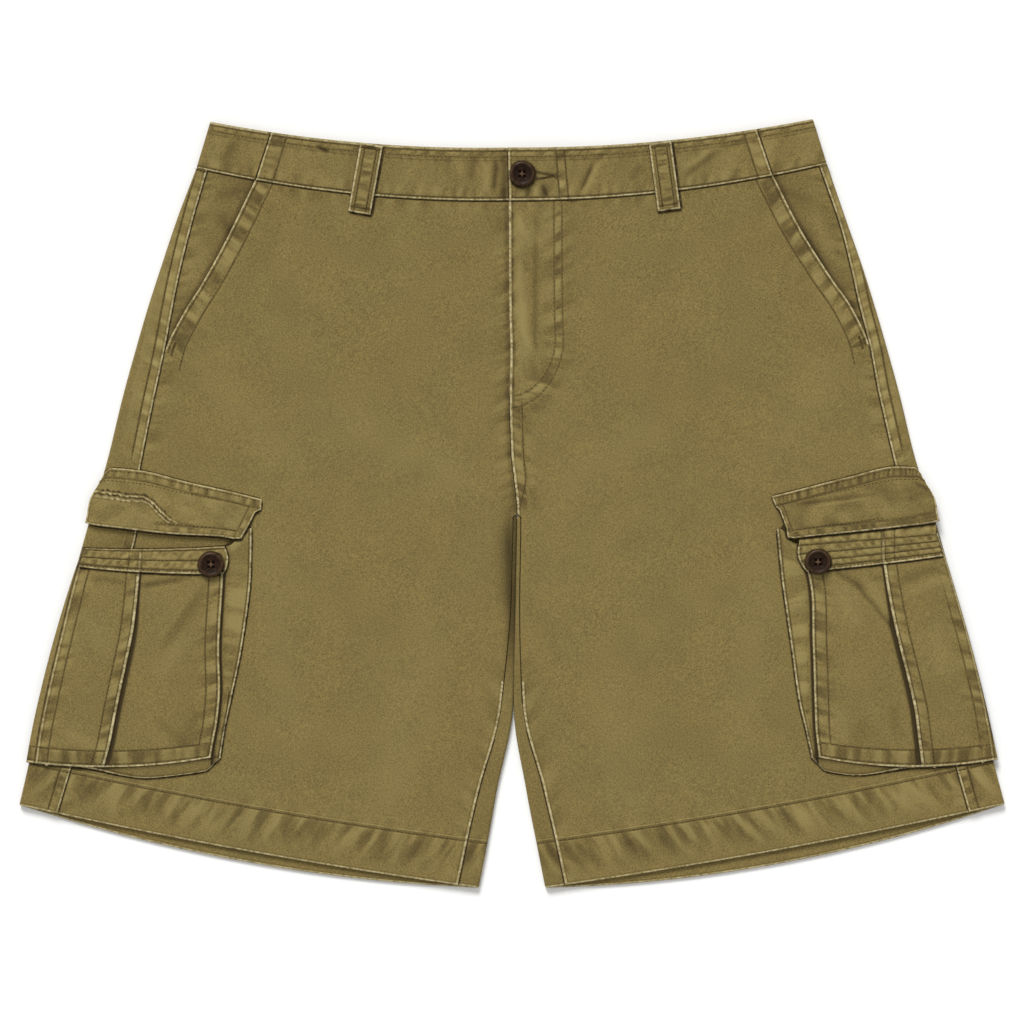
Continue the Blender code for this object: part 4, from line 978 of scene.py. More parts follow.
def j_path(row):
    """One row of the fly's J: straight down, then round the ellipse to the centre seam."""
    angle = np.linspace(0, 0.5 * pi - 0.08, 200)
    drop = J_FALL * row / FLY_WIDTH
    at = np.concatenate((np.linspace(0.003, FLY_BEND, 200), FLY_BEND + drop * np.sin(angle)))
    reach = np.concatenate((np.full(200, row), row * np.cos(angle)))[:, None]
    return front_path(LEFT_LEG, lambda s: width_of(s) - reach, at)


def back_path(leg, inward, at):
    """Line on the back's strip, inward from the side seam."""
    section = read_table(leg, at[:, 0])
    x, y = leg_xy(section, section.seam - inward, at)
    seam_x, seam_y = leg_xy(section, section.seam, at)
    z = front_height(seam_x, seam_y, at) + HEM_LIFT * hem_weight(at)
    points = grid(x, y, z + side_lift(section, section.seam - inward, at))[:, 0]
    return points[(section.seam - inward + 0 * at)[:, 0] > 2]


def underside_path(leg, across, at):
    """Line on the floor side of a back, across being a share of its width."""
    section = read_table(leg, at[:, 0])
    width = width_of(section)
    x, y = leg_xy(section, width * across, at, front=False)
    return grid(x, y, floor_height(at) + 0.12)[:, 0]


for side, leg in (("right", RIGHT_LEG), ("left", LEFT_LEG)):
    sew(f"slant_{side}", [
        front_path(leg, lambda s: s.slant + row, np.linspace(0.004, end, 400))
        for row, end in ((SLANT_STITCH, SLANT_END), (SLANT_BAND, SLANT_END + 0.026))])
    tack = front_path(leg, lambda s: s.slant + SLANT_TACK,
                      np.linspace(SLANT_END - 0.014, SLANT_END + 0.006, 400))
    stitches(f"bar_tack_slant_{side}", *bar_tack(tack, 2.4), radius=TACK_RADIUS)
    upper, hem = np.linspace(0.012, 0.45, 500)[:, None], np.linspace(0.91, 0.998, 120)[:, None]
    around = np.linspace(0.3, SIDE_STITCH, 30)[:, None]
    sew(f"side_{side}", [back_path(leg, SIDE_STITCH, upper), back_path(leg, SIDE_STITCH, hem),
                         back_path(leg, around, HEM_START + 0 * around)])
    # Round the front at the top of the hem, from side seam to inseam.
    share = np.linspace(0, 1, 400)[:, None]
    sew(f"hem_{side}", [front_path(
        leg, lambda s: s.seam + 0.8 + (width_of(s) - s.inseam - 0.8 - s.seam - 0.8) * share,
        np.full(400, HEM_START))])
    share = np.linspace(0.03, 0.97, 400)[:, None]
    sew(f"hem_back_{side}", [underside_path(leg, share, 0 * share + HEM_START)], up=-1)
sew("fly", [j_path(row) for row in J_ROWS])
at = np.linspace(FLY_END + 0.012, CROTCH - 0.004, 300)
sew("centre", [front_path(LEFT_LEG, lambda s: width_of(s) - centre_row(at)[:, None], at)])
at = np.linspace(0.01, CROTCH - 0.02, 300)[:, None]
sew("rise_back", [underside_path(LEFT_LEG, 0.965 + 0.02 * at, at)], up=-1)

# ==== Waistband ==================================================================
# A straight double band of the twill in three lengths, joined at the side seams. Its top
# edge is a fold with two rows of stitches, which rope it; its lower edge is sewn down
# over the waist seam. The left front ends in the buttonhole and laps over the right.
BAND_WALL, BAND_TOP_HEIGHT, BAND_UNDERLAP = 1.8, 6.6, 32
BAND_DEPTH = 36
BAND_ROWS_TOP = (2.4, 6.4)  # stitch rows below the top edge
BAND_ROW_LOW = 1.9          # stitch row above the lower edge
BandTop = namedtuple("BandTop", "outer_x outer_y inner_x inner_y bow seam_top seam_bottom")
RIGHT_BAND = BandTop(-222.7, 281.8, -3.7, 262.7, -5.8, 45, 43.7)
LEFT_BAND = BandTop(222.2, 283.8, -3.4, 262.7, -5.8, 41.5, 40)
BAND_DOWN = np.unique(np.concatenate((
    EDGE_STOPS[:9], BAND_ROWS_TOP[0] + np.array([-0.4, 0, 0.4, 1]),
    BAND_ROWS_TOP[1] + np.array([-1.5, -0.7, -0.3, 0, 0.3, 0.7, 1.5]), np.arange(9, 29.5, 1.5),
    BAND_DEPTH - EDGE_STOPS[:11], BAND_DEPTH - BAND_ROW_LOW + np.array([-0.4, 0, 0.4])))
)[:, None] / BAND_DEPTH


def band_xy(leg, top, distance, down):
    """Plan point of the waistband, distance in from its fold, down from 0 to 1."""
    upper, lower = leg_xy(top, distance, 0), leg_xy(leg[0], distance, 0)
    return tuple(a + (b - a) * down for a, b in zip(upper, lower))


def band_seam(top, down):
    """Distance of the band's side seam from its fold, from its top edge to its lower one."""
    return top.seam_top + (top.seam_bottom - top.seam_top) * down


def band_width(leg, top, down):
    """Width of the band from fold to centre, from its top edge to its lower one."""
    return width_of(top) + (width_of(leg[0]) - width_of(top)) * down


def band_front(leg, top, down, across):
    """Front stretch of the band: from the side seam on to the centre, and past it under
    the other one on the right, whose end is lapped."""
    seam = band_seam(top, down) + SEAM_GAP / 2
    centre = band_width(leg, top, down) + (BAND_UNDERLAP if leg is RIGHT_LEG else -SEAM_GAP)
    return band_xy(leg, top, seam + (centre - seam) * across, down)


# Wrinkles pressed into the band by wear, in plan.
BAND_FOLDS = rows_of(
    Crease,
    (73, 264, 61, 252, 1.8, -0.5), (60, 251, 50.5, 230, 1.5, -0.9),
    (63.5, 251, 54, 229, 2.2, 0.55), (151, 260, 128, 242, 2.4, -0.55),
    (152, 264.5, 126, 245, 2.6, 0.5), (172, 268, 158, 262, 2, -0.4), (192, 270, 184, 246, 5, 0.3),
    (96, 250, 88, 238, 3, -0.35), (22, 236, 26, 226, 1.8, -0.6), (13, 233, 10, 224, 1.8, -0.6),
    (17, 234, 18, 224, 1.8, 0.5), (34, 238, 42, 226, 2.4, 0.4), (-11, 254, -14, 226, 2.2, -0.8),
    (-18, 252, -19, 230, 2.6, 0.4), (-28, 257, -30, 238, 2.6, -0.4),
    (-37, 256, -38, 240, 2.6, 0.3), (-46, 257, -48, 240, 2.6, -0.3),
    (-144, 262.8, -134, 259.6, 1.3, -1), (-152, 244, -128, 232, 5, 0.25),
    (-204, 267, -216, 249, 3.5, -0.4),
)


def band_relief(x, y, down, seed):
    """Height, tone, rows and puckers of the band: roped between its two top rows, with
    short pleats under them and above its lower row, and its pressed wrinkles."""
    depth = down * BAND_DEPTH + 0 * x
    (first, second), low = BAND_ROWS_TOP, BAND_DEPTH - BAND_ROW_LOW
    rope = ripple(x + 1.1 * depth, 6, seed) * strip(depth, first - 0.4, second + 0.4, 1.8)
    hang = ripple(x - 0.3 * depth, 8, seed + 2) * ease(second, second + 1.5, depth)
    hang = hang * fade(8, 15, depth)
    pleats = ripple(x + 0.15 * depth, 10, seed + 3) * strip(depth, low - 11, low + 0.3, 0.6)
    pleats = pleats * ease(low - 11, low - 2, depth)
    wave = ripple(x + 0.25 * depth, 31, seed + 1) * strip(depth, second, BAND_DEPTH, 5)
    folds = crease_height(BAND_FOLDS, x, y) * ease(1.5, 4, depth)
    folds = folds * fade(low - 1, low, depth)
    rows = nearest(depth - first, depth - second, low - depth)
    height = 0.16 * rope + 0.26 * wave + 0.16 * hang + 0.18 * pleats + 0.75 * folds
    # The tone paints the rope, the hanging puckers, the pleats and the wrinkles lighter where they
    # rise and darker where they fall, as lit and shaded.
    tone = 0.34 * rope + 0.09 * wave + 0.25 * hang + 0.4 * pleats + 1.2 * folds
    weight = 0.5 * strip(depth, first, second, 1) + 0.14 * strip(depth, second, BAND_DEPTH, 2)
    weight = weight + 0.4 * fade(0.6, 2.2, depth) + 0.25 * strip(depth, low - 8, low, 3)
    return height - 0.2 * bell(rows, 0.55), {
        "tone": tone, "stitch": nearest(rows) + 0.35 * (depth > 4) * (depth < 9),
        "seam": (x + 0.4 * depth + 900 * seed, depth, weight)}


def from_path(x, y, path):
    """Distance to the nearest point of a path, positive on its left, and the run there."""
    path = np.asarray(path, float)
    start, step = path[:-1], np.diff(path, axis=0)
    length = np.maximum(np.hypot(*step.T), 1e-6)
    off_x, off_y = x[..., None] - start[:, 0], y[..., None] - start[:, 1]
    share = np.clip((off_x * step[:, 0] + off_y * step[:, 1]) / length**2, 0, 1)
    away = np.hypot(off_x - share * step[:, 0], off_y - share * step[:, 1])
    side = np.where(step[:, 0] * off_y > step[:, 1] * off_x, away, -away)
    run = np.cumsum(length) - length + share * length
    closest = np.argmin(away, axis=-1)[..., None]
    return tuple(np.take_along_axis(a, closest, -1)[..., 0] for a in (side, run))


def outline_of(points, step):
    """Plan outline of a grid of points, with every step-th point of its rim."""
    rim = np.concatenate((points[:, 0], points[-1, 1:], points[-2::-1, -1], points[0, -2:0:-1]))
    return rim[::step, :2]


SHADE_REACH, SHADE_FLOOR = 12, 2.5    # only points this near, and above this height


def shade_beside(outline, names, reach, fall=(0, -0.3)):
    """Paints a shadow on the upper sides of those cloths, close round a piece that lies on them.

    The outline is moved by fall, away from the light. The distance to it, counted as
    negative inside it by the even-odd rule and less the reach, is the dark distance of
    each point where it is the smaller one.
    """
    loop = np.concatenate((outline, outline[:1])) + np.array(fall)
    (x0, y0), (x1, y1) = loop[:-1].T, loop[1:].T
    for name in names:
        mesh = bpy.data.objects[name].data
        points, lines = np.empty(3 * len(mesh.vertices)), np.empty(3 * len(mesh.vertices))
        mesh.vertices.foreach_get("co", points)
        mesh.attributes["lines"].data.foreach_get("vector", lines)
        (x, y, z), lines = points.reshape(-1, 3).T / MM, lines.reshape(-1, 3)
        near = z > SHADE_FLOOR
        for place, ends in ((x, x0), (y, y0)):
            near &= np.abs(place - (ends.max() + ends.min()) / 2) < np.ptp(ends) / 2 + SHADE_REACH
        x, y = x[near], y[near]
        away = np.abs(from_path(x, y, loop)[0])
        crosses = (y0 > y[:, None]) != (y1 > y[:, None])
        slope = (x1 - x0) / np.where(y1 == y0, 1, y1 - y0)
        inside = (crosses & (x[:, None] < x0 + (y[:, None] - y0) * slope)).sum(axis=1) % 2 == 1
        lines[near, 1] = np.minimum(lines[near, 1], np.where(inside, -away, away) - reach)
        mesh.attributes["lines"].data.foreach_set("vector", lines.ravel())


def band_lines(marks, down, ends):
    """Adds a band's worn lines to its marks: its top fold, whose pale line is partly a
    painted highlight along the fold, its lower edge, and its ends.
    """
    depth = down * BAND_DEPTH + 0 * ends
    lower = nearest(BAND_DEPTH - depth - 0.8) + 0.12
    top = np.maximum(np.abs(depth - 0.95) - 0.45, 0) + 0.42
    marks["pale"] = nearest(top, lower, ends - WORN, nearest(depth - 8.2) + 0.62)
    marks["dark"] = nearest(BAND_DEPTH - depth - 2.2) + 0.3
    return nose(least(depth, BAND_DEPTH - depth, ends))


RIGHT_SPAN, LEFT_SPAN = 213, 185
RIGHT_SEAM_ROW, LEFT_SEAM_ROW = 12, 10
across = np.unique(np.concatenate((
    EDGE_STOPS, RIGHT_SEAM_ROW + np.array([-0.5, 0, 0.5]), np.arange(8.5, RIGHT_SPAN - 1, 1.2),
    RIGHT_SPAN - EDGE_STOPS[:6])))[None, :] / RIGHT_SPAN
x, y = band_front(RIGHT_LEG, RIGHT_BAND, BAND_DOWN, across)
# Its lapped end is tucked in a little lower than the edge over it.
y = y - 0.9 * ease(-5, -2, x) * (1 - BAND_DOWN)
lift, marks = band_relief(x, y, BAND_DOWN, 50)
from_seam = across * RIGHT_SPAN
ridge = 0.4 * fade(11.8, 13.4, from_seam) - 0.3 * bell(from_seam - RIGHT_SEAM_ROW, 0.8)
roll = band_lines(marks, BAND_DOWN, from_seam)
marks["stitch"] = nearest(marks["stitch"], from_seam - RIGHT_SEAM_ROW)
# Painted shade on the band beside the end of the left band, which laps over it.
marks["tone"] = marks["tone"] - 0.75 * bell(x + 5.5, 3) * (x > -14)
marks["seam"] = strongest(marks["seam"], (BAND_DOWN * BAND_DEPTH + 7000, from_seam,
                                          0.8 * strip(from_seam, 0, RIGHT_SEAM_ROW)))
band_right = cloth("waistband_front_right_cloth", grid(x, y, BAND_TOP_HEIGHT + lift + ridge),
                   roll, BAND_WALL, marks)
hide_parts("waistband_front_right")


def left_band_height(x):
    """The buttonhole end lies over the other one and then comes down to its level."""
    over = fade(BAND_UNDERLAP + 3, BAND_UNDERLAP + 28, x)
    return BAND_TOP_HEIGHT + (BAND_WALL + CLEARANCE) * over


# Two rows down the band past the buttonhole hold its facing, above the rows of the fly.
FACING_ROWS = (35.4, 41.6)
across = np.unique(np.concatenate((
    EDGE_STOPS, LEFT_SEAM_ROW + np.array([-0.5, 0, 0.5]), np.arange(8.5, LEFT_SPAN - 8, 1.2),
    *(LEFT_SPAN - row + np.array([-0.7, -0.3, 0, 0.3, 0.7]) for row in FACING_ROWS),
    LEFT_SPAN - EDGE_STOPS)))[None, :] / LEFT_SPAN
x, y = band_front(LEFT_LEG, LEFT_BAND, BAND_DOWN, across)
lift, marks = band_relief(x, y, BAND_DOWN, 60)
from_seam, from_end = across * LEFT_SPAN, (1 - across) * LEFT_SPAN
facing = nearest(from_end - FACING_ROWS[0], from_end - FACING_ROWS[1]) + 0 * x
seams = nearest(from_seam - LEFT_SEAM_ROW, facing)
ridge = 0.4 * fade(9.8, 11.4, from_seam) - 0.3 * bell(seams, 0.8)
roll = band_lines(marks, BAND_DOWN, np.minimum(from_seam, from_end))
marks["stitch"] = nearest(marks["stitch"], seams)
depth = BAND_DOWN * BAND_DEPTH
marks["seam"] = strongest(
    marks["seam"], (depth + 8000, from_seam, 0.8 * strip(from_seam, 0, LEFT_SEAM_ROW)),
    (depth + 8100, from_end, 0.85 * strip(from_end, *FACING_ROWS, 1)))
button_dip = bell(np.hypot(x - 7.4, y - 243.1), 13)
# Painted shadow in a ring round the button, more on its lower side.
marks["tone"] = marks["tone"] - 0.5 * bell(np.hypot(x - 8.4, y - 241.6) - 9.2, 1.8)
# The buttonhole is a slit pulled open by the button: its lips, which meet at its outer end, are
# painted dark with the shade in the opening.
SLIT_START, SLIT_END, SLIT_OPEN, SLIT_Y = 15.5, 32.3, 3, 241.9
lips = np.abs(np.abs(y - SLIT_Y) - 0.2 - SLIT_OPEN * (SLIT_END - x) / (SLIT_END - SLIT_START))
marks["dark"] = np.minimum(marks["dark"], only((x > 14) & (x < SLIT_END), lips - 0.3))
points = grid(x, y, left_band_height(x) + (lift + ridge) * (1 - button_dip))
band_left = cloth("waistband_front_left_cloth", points, roll, BAND_WALL, marks, flip=True)
shade_beside(outline_of(points, 5), ["waistband_front_right_cloth"], 0.4)
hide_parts("waistband_front_left")


BACK_HALVES = ((RIGHT_LEG, RIGHT_BAND), (LEFT_LEG, LEFT_BAND))


def make_band_back(name):
    """Back of the band, wrapping both side folds up to the band's side seams."""
    radius = (BAND_TOP_HEIGHT - FLOOR_LIFT) / 2
    arc_out, arc_height = fold_arc(radius, FLOOR_LIFT, FOLD_QUARTERS)
    halves = []
    for leg, top in BACK_HALVES:
        seam, width = band_seam(top, BAND_DOWN) - SEAM_GAP / 2, band_width(leg, top, BAND_DOWN)
        strip_out = seam - columns(0 * seam, seam - radius, EDGE_STOPS[:9], np.array([0]), 14)
        floor_out = radius + (width - radius) * np.linspace(0, 1, 50)[None, 1:]
        distance = np.concatenate((strip_out[:, :-1], arc_out + 0 * seam, floor_out), axis=1)
        z = np.concatenate((BAND_TOP_HEIGHT + 0 * strip_out[:, :-1], arc_height + 0 * seam,
                            FLOOR_LIFT + 0 * floor_out), axis=1)
        x, y = band_xy(leg, top, distance, BAND_DOWN)
        on_top = ease(0.85, 0.99, (z - FLOOR_LIFT) / (2 * radius))
        lift, marks = band_relief(x, y, BAND_DOWN, 70)
        end = only(on_top > 0.5, seam - distance)
        halves.append((grid(x, y, z + lift * on_top), end, marks["tone"] * (0.5 + 0.5 * on_top),
                       marks["stitch"], *marks["seam"]))
    right, left = halves
    middle = (right[0][:, -1:] + left[0][:, -1:]) / 2
    points = np.concatenate((right[0][:, :-1], middle, left[0][:, -2::-1]), axis=1)
    end, tone, rows, *seam = (np.concatenate((a, b[:, -2::-1]), axis=1)
                              for a, b in zip(right[1:], left[1:]))
    marks = {"tone": tone, "stitch": rows, "seam": seam}
    roll = band_lines(marks, BAND_DOWN, end)
    marks["pale"] = only(end >= 2, marks["pale"])
    marks["dark"] = np.abs(end)
    return cloth(name, points, roll, BAND_WALL, marks, flip=True)


band_back = make_band_back("waistband_back_cloth")
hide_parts("waistband_back")


def band_path(leg, share, down):
    """Stitch row on a front band, along it or down it."""
    top, height, seed = ((RIGHT_BAND, level, 50) if leg is RIGHT_LEG
                         else (LEFT_BAND, left_band_height, 60))
    x, y = band_front(leg, top, down, share)
    return grid(x, y, height(x) + band_relief(x, y, down, seed)[0])[:, 0]


def side_band_path(leg, top, depth):
    """Stitch row on the back band's strip, from its fold to its side seam."""
    distance = np.linspace(3, top.seam_top - 1, 120)[:, None]
    x, y = band_xy(leg, top, distance, depth / BAND_DEPTH)
    return grid(x, y, BAND_TOP_HEIGHT + band_relief(x, y, depth / BAND_DEPTH, 70)[0])[:, 0]


def level(x):
    """The right front's height, the same all along it."""
    return BAND_TOP_HEIGHT + 0 * x


BAND_DEPTHS = (*BAND_ROWS_TOP, BAND_DEPTH - BAND_ROW_LOW)
whole_depth = np.linspace(0.03, 0.97, 80)[:, None]
for side, leg, end, seams in (
        ("right", RIGHT_LEG, 0.86, [RIGHT_SEAM_ROW / RIGHT_SPAN]),
        ("left", LEFT_LEG, 0.996, [LEFT_SEAM_ROW / LEFT_SPAN, *(
            1 - row / LEFT_SPAN for row in (2.2, *FACING_ROWS))])):
    along = np.linspace(0.003, end, 600)[:, None]
    sew("band_" + side, [*(band_path(leg, along, depth / BAND_DEPTH) for depth in BAND_DEPTHS),
                         *(band_path(leg, share, whole_depth) for share in seams)])
sew("band_back", [side_band_path(leg, top, depth) for leg, top in BACK_HALVES
                  for depth in BAND_DEPTHS])

# ==== Belt loops =================================================================
# Narrow folded strips of the twill, two rows of stitches along each. Their ends are turned
# under and bar-tacked to the band's top edge and below the waist seam.
LOOP_WALL, LOOP_ARCH, LOOP_WIDTH, LOOP_LENGTH = 1.2, 0.5, 16.5, 51
LOOP_ROW = 4.4              # stitch rows either side of the loop's middle
LOOP_TACKS = (3, 4)         # bar tacks in from the top and the bottom
LOOP_SEAT = BAND_TOP_HEIGHT + CLEARANCE + LOOP_WALL
Loop = namedtuple("Loop", "name top_x top_y bottom_x bottom_y")
FRONT_LOOPS = rows_of(
    Loop,
    ("belt_loop_front_right", -103.6, 265, -112.7, 214.3),
    ("belt_loop_front_left", 109.2, 266.6, 116, 216.5),
)
BACK_LOOPS = rows_of(
    Loop,
    ("belt_loop_back_right", -128, 264, -131, 214),
    ("belt_loop_back_centre", -3.5, 261, -3.5, 211),
    ("belt_loop_back_left", 122, 265, 125, 215),
)
LOOP_STOPS = np.concatenate((EDGE_STOPS[:9], [3, 3.5, 3.85, 4.2, 4.8, 5.8, 7]))


def loop_xy(loop, down, across):
    """Strip down the band and past its seam, across being millimetres from its middle."""
    slope = (loop.bottom_x - loop.top_x) / (loop.top_y - loop.bottom_y)
    return (loop.top_x + (loop.bottom_x - loop.top_x) * down + across,
            loop.top_y + (loop.bottom_y - loop.top_y) * down + slope * across)


def loop_height(down, front):
    """A front loop bows up off the band; a back one lies flat between band and floor."""
    return (LOOP_SEAT + 0.35 + LOOP_ARCH * np.sin(pi * down) ** 2) * front


def make_loop(loop, front, seed):
    """Loop: two grooves of stitches, and between them a ladder of small puckers."""
    from_side = np.concatenate(
        (LOOP_STOPS, [LOOP_WIDTH / 2], LOOP_WIDTH - LOOP_STOPS[::-1]))[None, :]
    from_top = np.unique(np.concatenate((EDGE_STOPS, np.arange(8, LOOP_LENGTH - 7.5, 1),
                                         LOOP_LENGTH - EDGE_STOPS)))[:, None]
    down = from_top / LOOP_LENGTH
    across = from_side - LOOP_WIDTH / 2
    x, y = loop_xy(loop, down, across)
    rungs = ripple(from_top + 0.3 * across, 6, seed) * fade(2.6, 4.2, np.abs(across))
    rows = np.abs(across) - LOOP_ROW + 0 * from_top
    ends = nearest(from_top - LOOP_TACKS[0], LOOP_LENGTH - LOOP_TACKS[1] - from_top)
    relief = 0.22 * rungs - 0.22 * bell(rows, 0.7) - 0.15 * bell(ends, 1)
    edge = least(from_side, LOOP_WIDTH - from_side, from_top, LOOP_LENGTH - from_top)
    # The tone paints the ladder's puckers lit and shaded, and paints shade by the bar tacks and
    # along the loop's right side, away from the light.
    marks = {
        "pale": edge - WORN,
        "stitch": nearest(rows, ends + 0.2),
        "tone": 0.4 * rungs - 0.25 * bell(ends, 1.4)
                - 0.3 * bell(LOOP_WIDTH - from_side - 1.6, 1.4),
        "seam": (1.8 * from_top + 900 * seed, across,
                 0.8 * fade(3, 4.2, np.abs(across))),
    }
    points = grid(x, y, loop_height(down, front) + relief * front)
    if front:
        side = "right" if loop.top_x < 0 else "left"
        under = [f"waistband_front_{side}_cloth", f"front_panel_{side}_cloth"]
        shade_beside(outline_of(points, 4), under, 0.6, (0.8, -0.5))
    return cloth(loop.name + "_cloth", points, nose(edge), LOOP_WALL, marks, flip=not front)


for number, loop in enumerate(FRONT_LOOPS + BACK_LOOPS):
    front = loop in FRONT_LOOPS
    piece = make_loop(loop, front, 80 + number)
    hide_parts(loop.name)
    up = 1 if front else -1
    down = np.linspace(0.03, 0.97, 60)[:, None]
    sew(loop.name, [grid(*loop_xy(loop, down, row), loop_height(down, front) + 0 * down)[:, 0]
                    for row in (-LOOP_ROW, LOOP_ROW)], up)
    across = np.linspace(-6.8, 6.8, 40)[:, None]
    for place, end in (("top", LOOP_TACKS[0] / LOOP_LENGTH),
                       ("bottom", 1 - LOOP_TACKS[1] / LOOP_LENGTH)):
        path = grid(*loop_xy(loop, end, across), loop_height(end, front) + 0 * across)[:, 0]
        stitches(f"bar_tack_{place}_{loop.name}", *bar_tack(path, 1.5, up), up=up, radius=0.2)

# ==== Cargo pockets ==============================================================
# Bellows pockets of the same twill: a face with one pleat down it, whose edges are all
# edge-stitched, and a gusset round its inner side and bottom that joins it to the leg.
# The outer edge is sewn on flat at the leg's fold.
POCKET_RISE, POCKET_MOUTH_RISE, POCKET_OUTER_HEIGHT = 2.7, 2.2, 5.6
PLEAT_STEP, PLEAT_LAP = 1, 1.6
BAND_SHARE = 0.125          # stitched band, as a share of the pocket's depth
GUSSET_SHARE = 0.06         # of the depth, added below the face for the gusset's bottom
GUSSET_DROP = 9             # how far the gusset comes out below the face
FACE_ROW, PLEAT_ROW, SIDE_ROW, BOTTOM_ROW = 10.2, 9.3, 8.2, 11.6    # second stitch rows
EDGE_ROW = 2.1              # the first row, in from each edge
GUSSET_ROW = 2              # stitches in from the gusset's edge

# down is the share of the pocket's depth; piping, side, pleat and face are distances from
# its outer edge: where it comes up off the leg, its worn line, its pleat and its face's edge.
PocketRow = namedtuple("PocketRow",
                       "down outer_x outer_y inner_x inner_y piping pleat face bow side")
RIGHT_POCKET = rows_of(
    PocketRow,
    (0, -316.8, -33, -192, -30, 2, 43, 104, 2, 2),
    (0.125, -321.8, -46.5, -192.6, -51.5, 2.2, 46.9, 108.5, 2.5, 2.2),
    (0.425, -338.2, -100, -199, -104, 5, 56.8, 122, 2, 5),
    (0.711, -349.6, -145, -207.5, -146, 6, 58.6, 133.5, 3, 6),
    (0.869, -355, -170, -212, -167, 6.5, 59.1, 136, 5, 6.5),
    (1, -358.6, -190.6, -215, -186, 7, 57.2, 136, 6, 7),
)
LEFT_POCKET = rows_of(
    PocketRow,
    (0, 314.6, -21.5, 195.3, -30.5, 2, 41, 102.4, 0, 0.3),
    (0.125, 319.9, -38.5, 198.5, -52, 2.2, 45.6, 101.8, 1, 0.3),
    (0.446, 337.6, -99, 205.9, -104, 5, 52.2, 115.6, 2, 0.4),
    (0.731, 349.2, -145, 211.8, -146, 6.5, 52.8, 125.8, 3, 0.9),
    (0.885, 354.7, -170, 217, -168, 6.5, 54.7, 130.3, 5, 1.7),
    (1, 358.6, -188.5, 221, -186, 4, 55.9, 132, 7, 2.8),
)
# Drag folds of the face, which hang from the button and from under the stitched band.
Pocket = namedtuple("Pocket", "name rows depth drop_start creases folds seed")
RIGHT = Pocket("right", RIGHT_POCKET, 157, 0.25, rows_of(
    Crease,
    (-232, -57, -265, -101, 4.5, 0.7), (-272, -60, -240, -56, 3.5, -0.7),
    (-312, -70, -318, -150, 7, 0.3), (-245, -110, -236, -175, 9, 0.5),
), rows_of(
    Crease,
    (-275, -61, -241, -55.5, 2.2, -1), (-273, -57.5, -243, -53.5, 2, 0.5),
    (-313, -54.5, -284, -59, 2.5, -0.5), (-229, -58, -262, -104, 1.8, 0.55),
    (-226, -60, -258, -108, 4.5, -0.45), (-240, -95, -262, -128, 7, 0.3),
    (-231, -150, -244, -186, 7, -0.35), (-262, -160, -236, -182, 3, -0.3),
    (-331, -168, -300, -184, 4, 0.35), (-318, -80, -296, -110, 9, 0.25),
), 91)
LEFT = Pocket("left", LEFT_POCKET, 167, 0.42, rows_of(
    Crease,
    (236, -50, 283, -104, 5, 0.7), (240, -46, 262, -62, 3, -0.7), (300, -70, 330, -150, 7, 0.3),
    (252, -120, 262, -176, 9, 0.5),
), rows_of(
    Crease,
    (238, -50, 262, -64, 2.6, -0.8), (254, -60, 281, -92, 1.6, -0.85),
    (262, -56, 283, -88, 5, 0.4), (278, -86, 288, -108, 2.4, -0.7), (240, -58, 256, -92, 6, 0.35),
    (286, -58, 316, -46, 4, -0.5), (290, -66, 318, -56, 3.5, 0.35), (262, -57, 274, -55, 2, -0.5),
    (240, -150, 246, -176, 5, 0.3), (252, -178, 262, -160, 5, -0.25),
    (282, -146, 284, -172, 3.5, -0.35), (308, -90, 322, -130, 8, 0.25),
), 92)


def pocket_xy(line, distance):
    """Plan point of a pocket's row, distance in from its outer edge, on a shallow bow."""
    u = distance / width_of(line)
    x = line.outer_x + np.sign(line.inner_x - line.outer_x) * distance
    return x, line.outer_y + (line.inner_y - line.outer_y) * u - line.bow * 4 * u * (1 - u)


